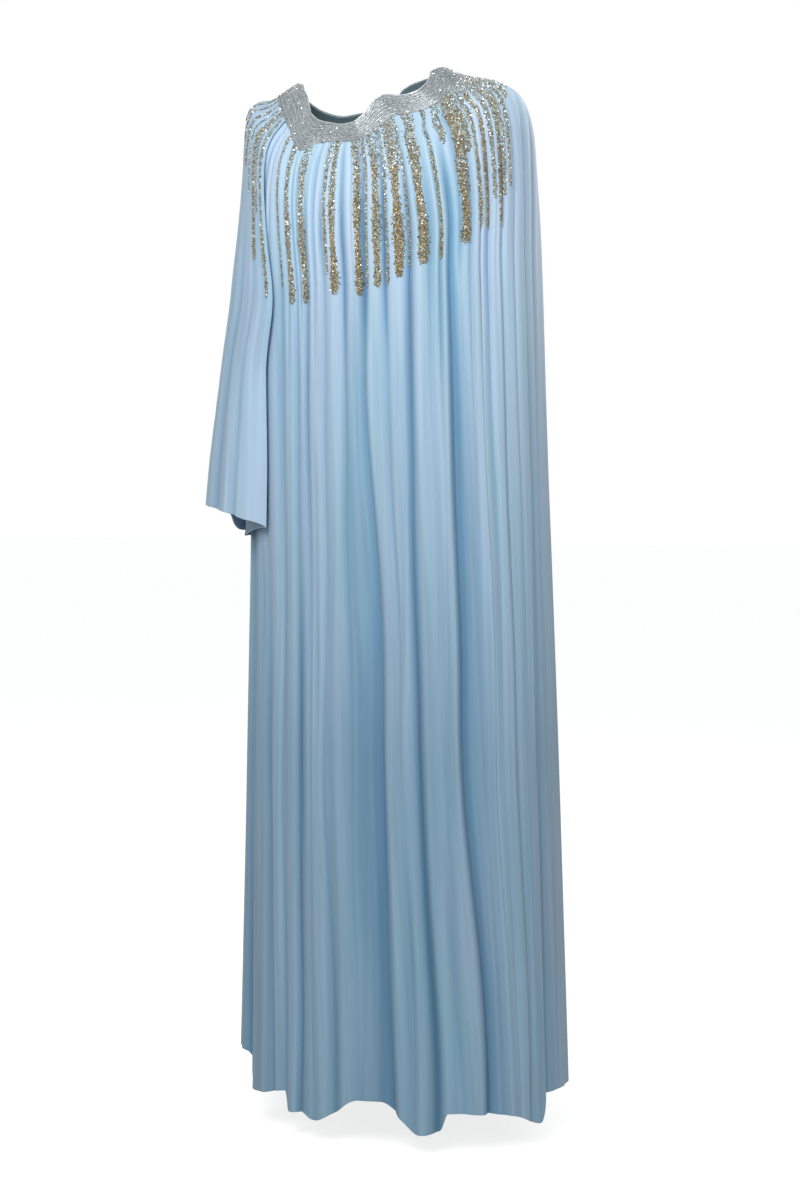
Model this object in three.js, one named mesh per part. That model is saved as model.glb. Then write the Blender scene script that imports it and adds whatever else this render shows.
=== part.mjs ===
// A floor-length kaftan dress of thin silk, gathered to a stiff beaded yoke round the neck.
//
// Millimetres, +Z up. The front faces -Y and the wearer's left is +X. The origin lies midway
// between the two highest points of the neck edge, where the shoulders hold the dress.
//
// Every piece lies on one form, the dress as it hangs. A place on it is named by its angle in
// degrees (0 front centre, 90 wearer's left, 180 back centre, -90 wearer's right) and by its level,
// which is how far the cloth has run down from the neck. Folds only go inwards from that form.

import * as THREE from 'three';

const CLOTH_WALL = 1.4;
const YOKE_WALL = 2.4;
const SEAM_GAP = 0.4;

const SILK_COLOUR = 0xa3c4da;
const SILK_SHADE_COLOUR = 0x9bbdd4;
const SLEEVE_COLOUR = 0xa9c6dc;
const BEADED_YOKE_COLOUR = 0xa9b3b6;

// Sections of the hanging form. drops: how far the cloth at this level lies under the origin, at
// the front, side and back. right, left, front, back: half-sizes of the section.
const FORM = table(
  ['level', 'frontDrop', 'sideDrop', 'backDrop', 'right', 'left', 'front', 'back'],
  [
    [-45, 22, -21, 0, 88, 88, 60, 58],
    [-20, 52, -10, 24, 104, 104, 76, 72],
    [0, 78, 0, 42, 120, 118, 88, 82],
    [21, 107, 16, 72, 154, 155, 106, 104],
    [45, 135, 27, 100, 174, 197, 120, 124],
    [75, 165, 44, 130, 184, 228, 130, 138],
    [125, 208, 91, 176, 187, 243, 141, 152],
    [200, 262, 177, 236, 187, 249, 149, 163],
    [300, 332, 289, 320, 184, 254, 152, 169],
    [450, 462, 450, 456, 182, 260, 153, 173],
    [700, 702, 700, 700, 184, 270, 156, 185],
    [1000, 1000, 1000, 1000, 188, 280, 165, 200],
    [1300, 1300, 1300, 1300, 195, 289, 173, 217],
    [1480, 1480, 1480, 1480, 199, 294, 178, 227],
  ],
);
const SECTION_ROUNDNESS = 2.25;

// The yoke's two scalloped edges, as levels round the neck.
const YOKE_EDGES = table(
  ['angle', 'neckLevel', 'outerLevel'],
  [
    [-180, -26, 2],
    [-168, -14, 12],
    [-156, -2, 24],
    [-146, 6, 33],
    [-136, 13, 38],
    [-124, 15, 38],
    [-112, 13, 34],
    [-100, 6, 27],
    [-90, 1, 22],
    [-79, 0, 18],
    [-68, -8, 15],
    [-60, -13, 14],
    [-52, -16, 14],
    [-45, -16, 15],
    [-38, -13, 17],
    [-32, -7, 20],
    [-27, -2, 26],
    [-22, 0, 33],
    [-18, 1, 37],
    [-14, 1, 29],
    [-9, 1, 23],
    [-3, 2, 21],
    [4, 3, 22],
    [10, 3, 25],
    [15, 0, 26],
    [20, -6, 25],
    [25, -13, 22],
    [30, -13, 19],
    [35, -8, 20],
    [40, 0, 27],
    [46, 7, 33],
    [52, 10, 35],
    [58, 9, 30],
    [64, 5, 26],
    [70, 0, 25],
    [78, 0, 24],
    [90, 1, 22],
    [105, -4, 17],
    [120, -14, 10],
    [134, -27, 0],
    [146, -36, -8],
    [160, -38, -11],
    [171, -35, -7],
    [180, -26, 2],
  ],
);
const YOKE_ROWS = 4;

// The deep folds, each running from the yoke to the hem at a slowly drifting angle. Halfway
// between two of them lies a gather that dies out below the bust. lean is 1 where the gentle slope
// is the one on the wearer's left of the crease, and reach is how many folds that slope runs over.
const FOLDS = table(
  [
    'fold', 'yokeAngle', 'kneeAngle', 'hemAngle',
    'chestDepth', 'waistDepth', 'kneeDepth', 'hemDepth', 'lean', 'reach',
  ],
  [
    [0, -96, -96, -96, 3, 6, 8, 12, 0.3, 1.2],
    [1, -84, -84, -84, 4, 5, 2, 2, -0.6, 0.8],
    [2, -72, -72, -71, 3, 6, 10, 14, 0.6, 1.7],
    [3, -61, -61, -59, 3, 5, 2, 2, -0.3, 0.8],
    [4, -51, -49, -44, 3, 6, 9, 13, 0.7, 1.6],
    [5, -43, -38, -32, 3, 4, 2, 2, -0.5, 0.8],
    [6, -35, -27, -20, 3, 4, 9, 10, -0.3, 1.0],
    [7, -21, -18, -14, 5, 5, 3, 4, 0.5, 0.9],
    [8, -12, -9, -6, 4, 5, 11, 10, 0.6, 1.0],
    [9, -6, -3, 1, 7, 9, 3, 3, -0.6, 1.4],
    [10, 2, 3, 7, 5, 4, 5, 7, 0.7, 1.0],
    [11, 9, 11, 14, 6, 6, 4, 3, 0.3, 0.8],
    [12, 16, 21, 25, 7, 10, 15, 13, -0.8, 2.0],
    [13, 23, 27, 31, 6, 6, 2, 3, -0.4, 0.8],
    [14, 31, 32, 38, 8, 11, 13, 14, -0.3, 0.9],
    [15, 38, 39, 46, 5, 3, 2, 4, 0.4, 0.8],
    [16, 45, 47, 55, 10, 15, 13, 15, 0.8, 1.6],
    [17, 53, 55, 62, 5, 3, 1, 2, -0.4, 0.7],
    [18, 61, 63, 68, 6, 5, 2, 3, -0.5, 0.8],
    [19, 68, 70, 74, 6, 8, 10, 9, 0.6, 1.2],
    [20, 76, 77, 80, 4, 4, 2, 2, -0.5, 0.8],
    [21, 85, 84, 87, 5, 8, 10, 13, 0.6, 1.5],
    [22, 94, 94, 95, 5, 6, 3, 3, -0.5, 0.9],
    [23, 105, 106, 106, 6, 8, 10, 13, 0.6, 1.6],
    [24, 116, 117, 118, 4, 5, 2, 3, -0.4, 0.8],
    [25, 128, 128, 129, 6, 9, 9, 13, 0.7, 1.6],
    [26, 141, 141, 142, 4, 5, 2, 2, -0.6, 0.8],
    [27, 153, 152, 152, 7, 11, 12, 15, -0.7, 1.8],
    [28, 165, 165, 166, 4, 5, 2, 2, 0.5, 0.8],
    [29, 177, 177, 178, 6, 9, 10, 13, 0.7, 1.6],
    [30, 190, 190, 190, 5, 6, 2, 3, -0.5, 0.8],
    [31, 202, 202, 203, 6, 10, 12, 14, -0.8, 1.8],
    [32, 214, 214, 215, 4, 5, 2, 2, 0.4, 0.8],
    [33, 226, 226, 226, 5, 8, 9, 12, 0.7, 1.6],
    [34, 239, 239, 240, 4, 5, 2, 2, -0.6, 0.8],
    [35, 251, 251, 252, 4, 7, 9, 12, 0.6, 1.6],
    [36, 264, 264, 264, 3, 6, 8, 12, 0.3, 1.2],
    [37, 276, 276, 276, 4, 5, 2, 2, -0.6, 0.8],
  ],
);
const COLUMNS_PER_FOLD = 4;
const FOLD_SHARPNESS = 1.9;
const STEEP_REACH = 0.34;
const GATHER_DEPTH = 3.6;
const GATHER_SEAM_SHARE = 0.3;
const GATHER_RAMP = 25;
const GATHER_FADES_FROM = 260;
const GATHER_FADES_BY = 620;
const DRIFT_FROM = 420;
const DRIFT_KNEE = 900;

// Round the neck the folds swing towards the shoulders, by these many degrees at the side and at
// the centre front, and they hang straight below the underarm.
const SWING_AT_SIDE = 10;
const SWING_AT_CENTRE = 5;
const SWING_FROM = 20;
const SWING_FRONT_RAMP = 22;
const SWING_BACK_RAMP = 28;

// Levels between which a crease gets its depth, its lean and the reach of its gentle slope.
const CREASE_STARTS = 30;
const LEAN_FROM = 60;
const LEAN_BY = 400;
const EVEN_REACH = 0.8;
const REACH_FROM = 200;
const REACH_BY = 700;
const CHEST_LEVEL = 180;
const WAIST_LEVEL = 520;
const KNEE_LEVEL = 1000;
const HEM_LEVEL = 1460;
const SKIRT_LEVEL = 700;

// The hem is cut a little uneven: the level it reaches round the dress.
const HEM = table(
  ['angle', 'level'],
  [
    [-90, 1424],
    [-64, 1402],
    [-46, 1406],
    [-38, 1453],
    [-26, 1449],
    [-14, 1439],
    [-11, 1466],
    [-4, 1465],
    [1, 1472],
    [7, 1458],
    [14, 1436],
    [21, 1435],
    [27, 1455],
    [32, 1475],
    [38, 1471],
    [41, 1444],
    [52, 1446],
    [64, 1451],
    [80, 1470],
    [86, 1434],
    [97, 1435],
    [117, 1446],
    [150, 1440],
    [185, 1450],
    [220, 1442],
    [270, 1424],
  ],
);

// Rows of cloth below the yoke. The first few share out the way from its scalloped edge.
const YOKE_ROW_SHARES = [0, 0.2, 0.5];
const ROW_LEVELS = [85, 130, 200, 300, 420, 560, 720, 880, 1040, 1200, 1340];

// The raglan sleeve on the wearer's right: a wide tube pressed flat against the body. Above the
// underarm it is open towards the body and sewn to the panels along its two slanting seams.
const SLEEVE = table(
  ['level', 'frontSeam', 'frontFold', 'backFold', 'backSeam', 'clearance', 'standOff'],
  [
    [18, -42, -38, -142, -138, 0.8, 0],
    [45, -42, -37.5, -142, -138, 0.8, 14],
    [85, -42, -36, -142, -138, 1, 11],
    [130, -44, -34, -143, -136, 1.5, 10],
    [200, -55, -31, -143, -125, 2.5, 12],
    [300, -90, -27, -142, -90, 4, 21],
    [420, -90, -27, -140, -90, 4, 42],
    [560, -90, -29, -136, -90, 4, 60],
    [680, -90, -30, -132, -90, 4, 69],
  ],
);
const UNDERARM_LEVEL = 300;
const SLEEVE_FLAT_COLUMNS = 8;
const SLEEVE_OUTER_COLUMNS = 24;
const SLEEVE_FOLDS = 8;
const SLEEVE_FOLD_DEPTH = 5;
const SLEEVE_BULGE = 0.6;
const SLEEVE_EDGE_ROOM = 4.2;
const SLEEVE_LAP_SHARE = 0.12;
const SLEEVE_RISE = 40;
const SLEEVE_TUBE_FROM = 130;
const SLEEVE_FOLDS_FROM = 30;
const SLEEVE_ROWS = 9;
const SLEEVE_HEM_INNER = 658;
const SLEEVE_HEM_FOLDS = 643;
const SLEEVE_HEM_RISE = 34;
const SLEEVE_HEM_BACK_DROP = 42;
const SLEEVE_BACK_FROM = 0.46;
const SLEEVE_BACK_BY = 0.36;

const YOKE_FRONT_END = SLEEVE.frontFold(0);
const YOKE_BACK_END = 360 + SLEEVE.backFold(0);

// Named columns of a small table as smooth functions of its first column, with no overshoot.
function table(names, rows) {
  const places = rows.map((row) => row[0]);
  const columns = { rows };
  names.slice(1).forEach((name, i) => {
    columns[name] = monotoneCurve(places, rows.map((row) => row[i + 1]));
  });
  return columns;
}

function monotoneCurve(places, values) {
  const last = places.length - 1;
  const steps = places.slice(1).map((place, i) => place - places[i]);
  const slopes = steps.map((step, i) => (values[i + 1] - values[i]) / step);
  const tangents = places.map((_, i) => {
    if (i === 0) return slopes[0];
    if (i === last) return slopes[last - 1];
    if (slopes[i - 1] * slopes[i] <= 0) return 0;
    const before = 2 * steps[i] + steps[i - 1];
    const after = steps[i] + 2 * steps[i - 1];
    return (before + after) / (before / slopes[i - 1] + after / slopes[i]);
  });
  return (place) => {
    let i = 0;
    while (i < last - 1 && place > places[i + 1]) i += 1;
    const t = THREE.MathUtils.clamp((place - places[i]) / steps[i], 0, 1);
    const rise = (values[i + 1] - values[i]) * t * t * (3 - 2 * t);
    const lean = tangents[i] * t * (1 - t) * (1 - t) - tangents[i + 1] * t * t * (1 - t);
    return values[i] + rise + steps[i] * lean;
  };
}

function mix(from, to, share) {
  return from + (to - from) * share;
}

function wrapped(angle) {
  return THREE.MathUtils.euclideanModulo(angle + 180, 360) - 180;
}

// A point of the hanging form, with no folds.
function formPoint(angle, level) {
  const radians = THREE.MathUtils.degToRad(angle);
  const side = Math.sin(radians);
  const ahead = Math.cos(radians);
  const width = side > 0 ? FORM.left(level) : FORM.right(level);
  const depth = ahead > 0 ? FORM.front(level) : FORM.back(level);
  const endDrop = ahead > 0 ? FORM.frontDrop(level) : FORM.backDrop(level);
  const drop = endDrop * ahead * ahead + FORM.sideDrop(level) * side * side;
  const power = Math.abs(side) ** SECTION_ROUNDNESS + Math.abs(ahead) ** SECTION_ROUNDNESS;
  const reach = power ** (-1 / SECTION_ROUNDNESS);
  return new THREE.Vector3(width * side * reach, -depth * ahead * reach, -drop);
}

// The outward direction of a surface given as a function of angle and level.
function outward(surface, angle, level) {
  const angleStep = 1.5;
  const levelStep = 3;
  const around = surface(angle + angleStep, level).sub(surface(angle - angleStep, level));
  const down = surface(angle, level + levelStep).sub(surface(angle, level - levelStep));
  return down.cross(around).normalize();
}

// How far a fold swings round the neck before it hangs straight. None swings beside the sleeve.
function neckLean(angle, level) {
  const { smoothstep } = THREE.MathUtils;
  const front = smoothstep(angle, YOKE_FRONT_END, YOKE_FRONT_END + SWING_FRONT_RAMP);
  const back = 1 - smoothstep(angle, YOKE_BACK_END - SWING_BACK_RAMP, YOKE_BACK_END);
  const radians = THREE.MathUtils.degToRad(angle);
  const swing = SWING_AT_SIDE * Math.sin(radians) - SWING_AT_CENTRE * Math.cos(radians);
  return front * back * swing * (1 - smoothstep(level, SWING_FROM, UNDERARM_LEVEL));
}

function foldAngle(fold, level) {
  const { smoothstep } = THREE.MathUtils;
  const toKnee = smoothstep(level, DRIFT_FROM, DRIFT_KNEE);
  const above = mix(FOLDS.yokeAngle(fold), FOLDS.kneeAngle(fold), toKnee);
  const angle = mix(above, FOLDS.hemAngle(fold), smoothstep(level, DRIFT_KNEE, HEM_LEVEL));
  return angle + neckLean(angle, level);
}

// 1 in the crease of a fold, 0 on the round ridge halfway to the next one.
function creaseShape(share) {
  return Math.abs(2 * (share - Math.floor(share)) - 1) ** FOLD_SHARPNESS;
}

// The fold number at an angle: whole numbers are creases, and the rest lies between them.
function foldNumber(angle, level) {
  const firstFold = foldAngle(0, level);
  const turned = firstFold + THREE.MathUtils.euclideanModulo(angle - firstFold, 360);
  let fold = 0;
  while (foldAngle(fold + 1, level) <= turned) fold += 1;
  const start = foldAngle(fold, level);
  return fold + (turned - start) / (foldAngle(fold + 1, level) - start);
}

// The depth of one crease at a level.
function creaseDepth(fold, level) {
  const { smoothstep } = THREE.MathUtils;
  const chest = FOLDS.chestDepth(fold) * smoothstep(level, CREASE_STARTS, CHEST_LEVEL);
  const waist = mix(chest, FOLDS.waistDepth(fold), smoothstep(level, CHEST_LEVEL, WAIST_LEVEL));
  const knee = mix(waist, FOLDS.kneeDepth(fold), smoothstep(level, WAIST_LEVEL, KNEE_LEVEL));
  return mix(knee, FOLDS.hemDepth(fold), smoothstep(level, KNEE_LEVEL, HEM_LEVEL));
}

// The deep folds together: from each crease one slope rises steeply and the other gently.
function deepFolds(place, level) {
  const { smoothstep } = THREE.MathUtils;
  const last = FOLDS.rows.length - 1;
  let depth = 0;
  for (const step of [-1, 0, 1, 2]) {
    const at = Math.floor(place) + step;
    const away = place - at;
    let fold = at;
    if (at < 0) fold = at + last - 1;
    if (at > last) fold = at - last + 1;
    const side = Math.sign(away || -1) * FOLDS.lean(fold) * smoothstep(level, LEAN_FROM, LEAN_BY);
    const gentle = mix(EVEN_REACH, FOLDS.reach(fold), smoothstep(level, REACH_FROM, REACH_BY));
    const reach = mix(STEEP_REACH, gentle, (1 + side) / 2);
    depth += creaseDepth(fold, level) * Math.max(0, 1 - Math.abs(away) / reach) ** FOLD_SHARPNESS;
  }
  return depth;
}

function foldDepth(angle, level) {
  const place = foldNumber(angle, level);
  const below = level - YOKE_EDGES.outerLevel(wrapped(angle));
  const ramp = mix(GATHER_SEAM_SHARE, 1, THREE.MathUtils.smoothstep(below, 0, GATHER_RAMP));
  const fading = 1 - THREE.MathUtils.smoothstep(level, GATHER_FADES_FROM, GATHER_FADES_BY);
  return GATHER_DEPTH * ramp * fading * creaseShape(2 * place) + deepFolds(place, level);
}

// A point of the gathered body cloth.
function clothPoint(angle, level) {
  const inwards = outward(formPoint, angle, level).multiplyScalar(-foldDepth(angle, level));
  return formPoint(angle, level).add(inwards);
}

function rowLevel(row, angle) {
  if (row < YOKE_ROW_SHARES.length) {
    const edge = YOKE_EDGES.outerLevel(wrapped(angle)) + SEAM_GAP;
    return mix(edge, ROW_LEVELS[0], YOKE_ROW_SHARES[row]);
  }
  const level = ROW_LEVELS[row - YOKE_ROW_SHARES.length];
  return level === undefined ? HEM.level(angle < -90 ? angle + 360 : angle) : level;
}

const PANEL_ROWS = YOKE_ROW_SHARES.length + ROW_LEVELS.length + 1;

// A closed wall between an outer and an inner grid of points, rows running down and columns
// running round. A ring joins its last column to its first.
function wallGeometry(outer, inner, isRing) {
  const rows = outer.length;
  const columns = outer[0].length;
  const index = [];
  const at = (face, row, column) => (face * rows + row) * columns + (column % columns);
  const quad = (a, b, c, d) => index.push(a, b, c, a, c, d);
  const spans = isRing ? columns : columns - 1;
  for (let column = 0; column < spans; column += 1) {
    const next = column + 1;
    for (let row = 0; row < rows - 1; row += 1) {
      quad(at(0, row, column), at(0, row + 1, column), at(0, row + 1, next), at(0, row, next));
      quad(at(1, row, column), at(1, row, next), at(1, row + 1, next), at(1, row + 1, column));
    }
    const end = rows - 1;
    quad(at(0, 0, column), at(0, 0, next), at(1, 0, next), at(1, 0, column));
    quad(at(0, end, column), at(1, end, column), at(1, end, next), at(0, end, next));
  }
  if (!isRing) {
    const end = columns - 1;
    for (let row = 0; row < rows - 1; row += 1) {
      quad(at(0, row, 0), at(1, row, 0), at(1, row + 1, 0), at(0, row + 1, 0));
      quad(at(0, row, end), at(0, row + 1, end), at(1, row + 1, end), at(1, row, end));
    }
  }
  const geometry = new THREE.BufferGeometry();
  const points = [...outer.flat(), ...inner.flat()];
  const positions = points.flatMap((point) => [point.x, point.y, point.z]);
  geometry.setAttribute('position', new THREE.Float32BufferAttribute(positions, 3));
  geometry.setIndex(index);
  geometry.computeVertexNormals();
  return geometry;
}

function clothMesh(name, geometry, color, roughness) {
  const material = new THREE.MeshStandardMaterial({ color, roughness, metalness: 0 });
  const mesh = new THREE.Mesh(geometry, material);
  mesh.name = name;
  return mesh;
}

// The fold numbers of the columns from one seam to the next.
function foldColumns(firstSeam, lastSeam) {
  const count = Math.round((lastSeam - firstSeam) * COLUMNS_PER_FOLD);
  return Array.from({ length: count + 1 }, (_, i) => firstSeam + i / COLUMNS_PER_FOLD);
}

// The angle of a column. Beside the sleeve the panels end at its slanting seams, so there the
// columns between the sleeve's fold and the side seam close up towards the neck.
function columnAngle(fold, level) {
  const whole = Math.floor(fold);
  const angle = mix(foldAngle(whole, level), foldAngle(whole + 1, level), fold - whole);
  if (level >= UNDERARM_LEVEL) return angle;
  if (angle < YOKE_FRONT_END) {
    const share = (angle - YOKE_FRONT_END) / (-90 - YOKE_FRONT_END);
    return mix(YOKE_FRONT_END, SLEEVE.frontSeam(level), share);
  }
  if (angle > YOKE_BACK_END) {
    const share = (angle - YOKE_BACK_END) / (270 - YOKE_BACK_END);
    return mix(YOKE_BACK_END, 360 + SLEEVE.backSeam(level), share);
  }
  return angle;
}

// A gathered panel between two seams. Each seam edge is drawn in by half the gap.
function panel(name, firstSeam, lastSeam, color) {
  const folds = foldColumns(firstSeam, lastSeam);
  const outer = [];
  const inner = [];
  for (let row = 0; row < PANEL_ROWS; row += 1) {
    const points = folds.map((fold, i) => {
      let angle = columnAngle(fold, rowLevel(row, columnAngle(fold, ROW_LEVELS[0])));
      const { x, y } = formPoint(angle, SKIRT_LEVEL);
      const halfGap = THREE.MathUtils.radToDeg(SEAM_GAP / 2 / Math.hypot(x, y));
      if (i === 0) angle += halfGap;
      if (i === folds.length - 1) angle -= halfGap;
      return { angle, level: rowLevel(row, angle) };
    });
    outer.push(points.map(({ angle, level }) => clothPoint(angle, level)));
    inner.push(points.map(({ angle, level }, i) => {
      const wall = outward(clothPoint, angle, level).multiplyScalar(-CLOTH_WALL);
      return outer[row][i].clone().add(wall);
    }));
  }
  return clothMesh(name, wallGeometry(outer, inner, false), color, 0.55);
}

// How far the sleeve's outer layer stands off the form, share running from back to front fold.
function sleeveLift(level, share, angle) {
  const belowYoke = level - YOKE_EDGES.outerLevel(wrapped(angle));
  const standOff = SLEEVE.standOff(level) * THREE.MathUtils.smoothstep(belowYoke, 0, SLEEVE_RISE);
  const edge = Math.max(0, 1 - Math.min(share, 1 - share) / SLEEVE_LAP_SHARE);
  const tubeShare = THREE.MathUtils.smoothstep(level, SLEEVE_TUBE_FROM, UNDERARM_LEVEL);
  const room = (SLEEVE.clearance(level) + SLEEVE_EDGE_ROOM) * mix(edge, 1, tubeShare);
  const bulge = Math.sin(Math.PI * share) ** SLEEVE_BULGE;
  const foldShare = THREE.MathUtils.smoothstep(level, SLEEVE_FOLDS_FROM, WAIST_LEVEL) * bulge;
  const crease = SLEEVE_FOLD_DEPTH * foldShare * creaseShape(SLEEVE_FOLDS * share);
  return room + standOff * bulge - crease;
}

// The columns of the sleeve: from the back seam along the inside to the back fold, over the
// outside to the front fold, and along the inside to the front seam.
function sleeveColumns() {
  const columns = [];
  for (let i = 0; i <= SLEEVE_FLAT_COLUMNS; i += 1) {
    columns.push({ layer: 'inside', from: 'backSeam', to: 'backFold', share: i / SLEEVE_FLAT_COLUMNS });
  }
  columns.push({ layer: 'fold', from: 'backFold', to: 'backFold', share: 0, turn: -1 });
  for (let i = 0; i <= SLEEVE_OUTER_COLUMNS; i += 1) {
    columns.push({ layer: 'outside', from: 'backFold', to: 'frontFold', share: i / SLEEVE_OUTER_COLUMNS });
  }
  columns.push({ layer: 'fold', from: 'frontFold', to: 'frontFold', share: 0, turn: 1 });
  for (let i = 0; i <= SLEEVE_FLAT_COLUMNS; i += 1) {
    columns.push({ layer: 'inside', from: 'frontFold', to: 'frontSeam', share: i / SLEEVE_FLAT_COLUMNS });
  }
  return columns;
}

function sleeveLevel(row, column, angle) {
  if (row < SLEEVE_ROWS) return rowLevel(row, angle);
  if (column.layer === 'inside') return SLEEVE_HEM_INNER;
  if (column.layer === 'fold') return SLEEVE_HEM_FOLDS;
  const { smoothstep } = THREE.MathUtils;
  const { share } = column;
  const behind = 1 - smoothstep(share, SLEEVE_BACK_BY, SLEEVE_BACK_FROM);
  const lower = SLEEVE_HEM_BACK_DROP * behind * smoothstep(share, 0, SLEEVE_LAP_SHARE);
  return SLEEVE_HEM_FOLDS - SLEEVE_HEM_RISE * Math.sin(Math.PI * share) ** SLEEVE_BULGE + lower;
}

function sleeve(name, color) {
  const outer = [];
  const inner = [];
  const columns = sleeveColumns();
  for (let row = 0; row <= SLEEVE_ROWS; row += 1) {
    outer.push([]);
    inner.push([]);
    columns.forEach((column, i) => {
      const guess = sleeveLevel(row, column, SLEEVE[column.from](0));
      let angle = mix(SLEEVE[column.from](guess), SLEEVE[column.to](guess), column.share);
      const level = sleeveLevel(row, column, angle);
      if (i === 0) angle -= THREE.MathUtils.radToDeg(SEAM_GAP / FORM.right(level));
      if (i === columns.length - 1) angle += THREE.MathUtils.radToDeg(SEAM_GAP / FORM.right(level));
      const away = outward(formPoint, angle, level);
      const clearance = SLEEVE.clearance(level);
      const point = formPoint(angle, level);
      const wall = away.clone();
      if (column.layer === 'inside') {
        point.addScaledVector(away, clearance);
      } else if (column.layer === 'outside') {
        point.addScaledVector(away, sleeveLift(level, column.share, angle));
        wall.negate();
      } else {
        const along = new THREE.Vector3(0, 0, 1).cross(away).normalize().multiplyScalar(column.turn);
        point.addScaledVector(away, clearance + SLEEVE_EDGE_ROOM / 2);
        point.addScaledVector(along, SLEEVE_EDGE_ROOM / 2);
        wall.copy(along).negate();
      }
      outer[row].push(point);
      inner[row].push(point.clone().addScaledVector(wall, CLOTH_WALL));
    });
  }
  return clothMesh(name, wallGeometry(outer, inner, false), color, 0.55);
}

// The stiff yoke: a ring round the neck between its two scalloped edges.
function yoke(name) {
  const angles = foldColumns(0, FOLDS.rows.length - 1)
    .map((fold) => mix(foldAngle(Math.floor(fold), 0), foldAngle(Math.ceil(fold), 0), fold % 1))
    .filter((angle) => angle >= YOKE_FRONT_END && angle <= YOKE_BACK_END);
  for (let i = 0; i <= SLEEVE_OUTER_COLUMNS; i += 1) {
    angles.push(mix(YOKE_BACK_END, YOKE_FRONT_END + 360, i / SLEEVE_OUTER_COLUMNS));
  }
  const outer = [];
  const inner = [];
  for (let row = 0; row < YOKE_ROWS; row += 1) {
    const levels = angles.map((angle) => {
      const place = wrapped(angle);
      return mix(YOKE_EDGES.neckLevel(place), YOKE_EDGES.outerLevel(place), row / (YOKE_ROWS - 1));
    });
    outer.push(angles.map((angle, i) => formPoint(angle, levels[i])));
    inner.push(angles.map((angle, i) => {
      const wall = outward(formPoint, angle, levels[i]).multiplyScalar(-YOKE_WALL);
      return outer[row][i].clone().add(wall);
    }));
  }
  return clothMesh(name, wallGeometry(outer, inner, true), BEADED_YOKE_COLOUR, 0.4);
}

// Seams, as places between folds: the sleeve side, the front's own seam hidden in a crease, the
// front edge and back edge of the cape, the back's own seam and the sleeve side again.
const SIDE_SEAM = 0.5;
const FRONT_SEAM = 10;
const CAPE_FRONT_SEAM = 17.5;
const CAPE_BACK_SEAM = 24.5;
const BACK_SEAM = 30;
const SIDE_SEAM_ROUND = 36.5;

const kaftan = new THREE.Group();
kaftan.add(yoke('neck_yoke'));
kaftan.add(panel('front_right_panel', SIDE_SEAM, FRONT_SEAM, SILK_COLOUR));
kaftan.add(panel('front_left_panel', FRONT_SEAM, CAPE_FRONT_SEAM, SILK_COLOUR));
kaftan.add(panel('left_cape_panel', CAPE_FRONT_SEAM, CAPE_BACK_SEAM, SILK_SHADE_COLOUR));
kaftan.add(panel('back_left_panel', CAPE_BACK_SEAM, BACK_SEAM, SILK_COLOUR));
kaftan.add(panel('back_right_panel', BACK_SEAM, SIDE_SEAM_ROUND, SILK_COLOUR));
kaftan.add(sleeve('right_sleeve', SLEEVE_COLOUR));

export default kaftan;
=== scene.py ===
"""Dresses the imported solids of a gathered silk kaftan: cloth, yoke, beadwork, floor and camera."""

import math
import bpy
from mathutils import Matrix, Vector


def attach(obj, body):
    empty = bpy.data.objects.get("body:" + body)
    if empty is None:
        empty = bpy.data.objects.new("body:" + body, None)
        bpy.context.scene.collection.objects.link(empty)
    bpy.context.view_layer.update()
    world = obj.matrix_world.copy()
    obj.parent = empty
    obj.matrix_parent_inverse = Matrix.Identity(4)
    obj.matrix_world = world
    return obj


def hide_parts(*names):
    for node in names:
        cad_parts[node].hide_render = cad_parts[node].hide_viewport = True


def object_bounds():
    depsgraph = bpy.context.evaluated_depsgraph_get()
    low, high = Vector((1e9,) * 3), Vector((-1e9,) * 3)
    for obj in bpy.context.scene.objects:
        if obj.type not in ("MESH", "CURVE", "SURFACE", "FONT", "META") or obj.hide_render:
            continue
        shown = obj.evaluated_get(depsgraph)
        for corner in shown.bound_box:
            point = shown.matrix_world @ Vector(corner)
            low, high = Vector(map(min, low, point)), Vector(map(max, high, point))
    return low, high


bl_info = {
    "name": "Gathered kaftan dress",
    "version": (1, 0, 0),
    "blender": (4, 5, 0),
    "location": "View3D > Sidebar > Kaftan",
    "description": "Hangs the silk, sews the beaded yoke and sets the stage for a kaftan dress",
    "category": "Object",
}

import bpy
import numpy as np
from bpy.props import FloatProperty, FloatVectorProperty, IntProperty, PointerProperty
from mathutils import Vector

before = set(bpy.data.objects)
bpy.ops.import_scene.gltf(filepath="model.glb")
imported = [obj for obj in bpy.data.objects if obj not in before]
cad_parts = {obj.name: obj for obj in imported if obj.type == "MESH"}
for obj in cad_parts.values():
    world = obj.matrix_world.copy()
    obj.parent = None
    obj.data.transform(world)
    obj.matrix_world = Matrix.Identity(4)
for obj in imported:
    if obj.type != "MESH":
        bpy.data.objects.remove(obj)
CAD_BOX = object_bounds()
BODY = "root"
MM = 0.001

# The seen frame, in pixels, and where the camera stands, in metres and degrees.
FRAME_WIDTH, FRAME_HEIGHT = 800, 1200
FOCAL_PIXELS = 2064.0
SENSOR = 36.0
CAMERA_TARGET = Vector((0.033, 0.019, -0.752))
CAMERA_AZIMUTH = 30.0
CAMERA_ELEVATION = 3.0
CAMERA_DISTANCE = 3.0

# The studio's light. Each soft box has a place in metres, a power in watts, a size and a colour.
SKY_COLOUR, SKY_STRENGTH = (0.95, 0.98, 1.0, 1), 0.42
SOFT_BOXES = (
    ("key", (0.55, -2.5, 1.3), 69.0, 1.4, (1.0, 0.99, 0.975)),
    ("fill", (2.9, -1.9, 0.3), 19.0, 1.8, (0.96, 0.98, 1.0)),
    ("back", (0.9, 2.9, 1.0), 34.0, 2.0, (1.0, 1.0, 1.0)),
)
LAMP_TARGET = Vector((0.03, 0.0, -0.55))
WHITE = (1, 1, 1, 1)
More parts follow.
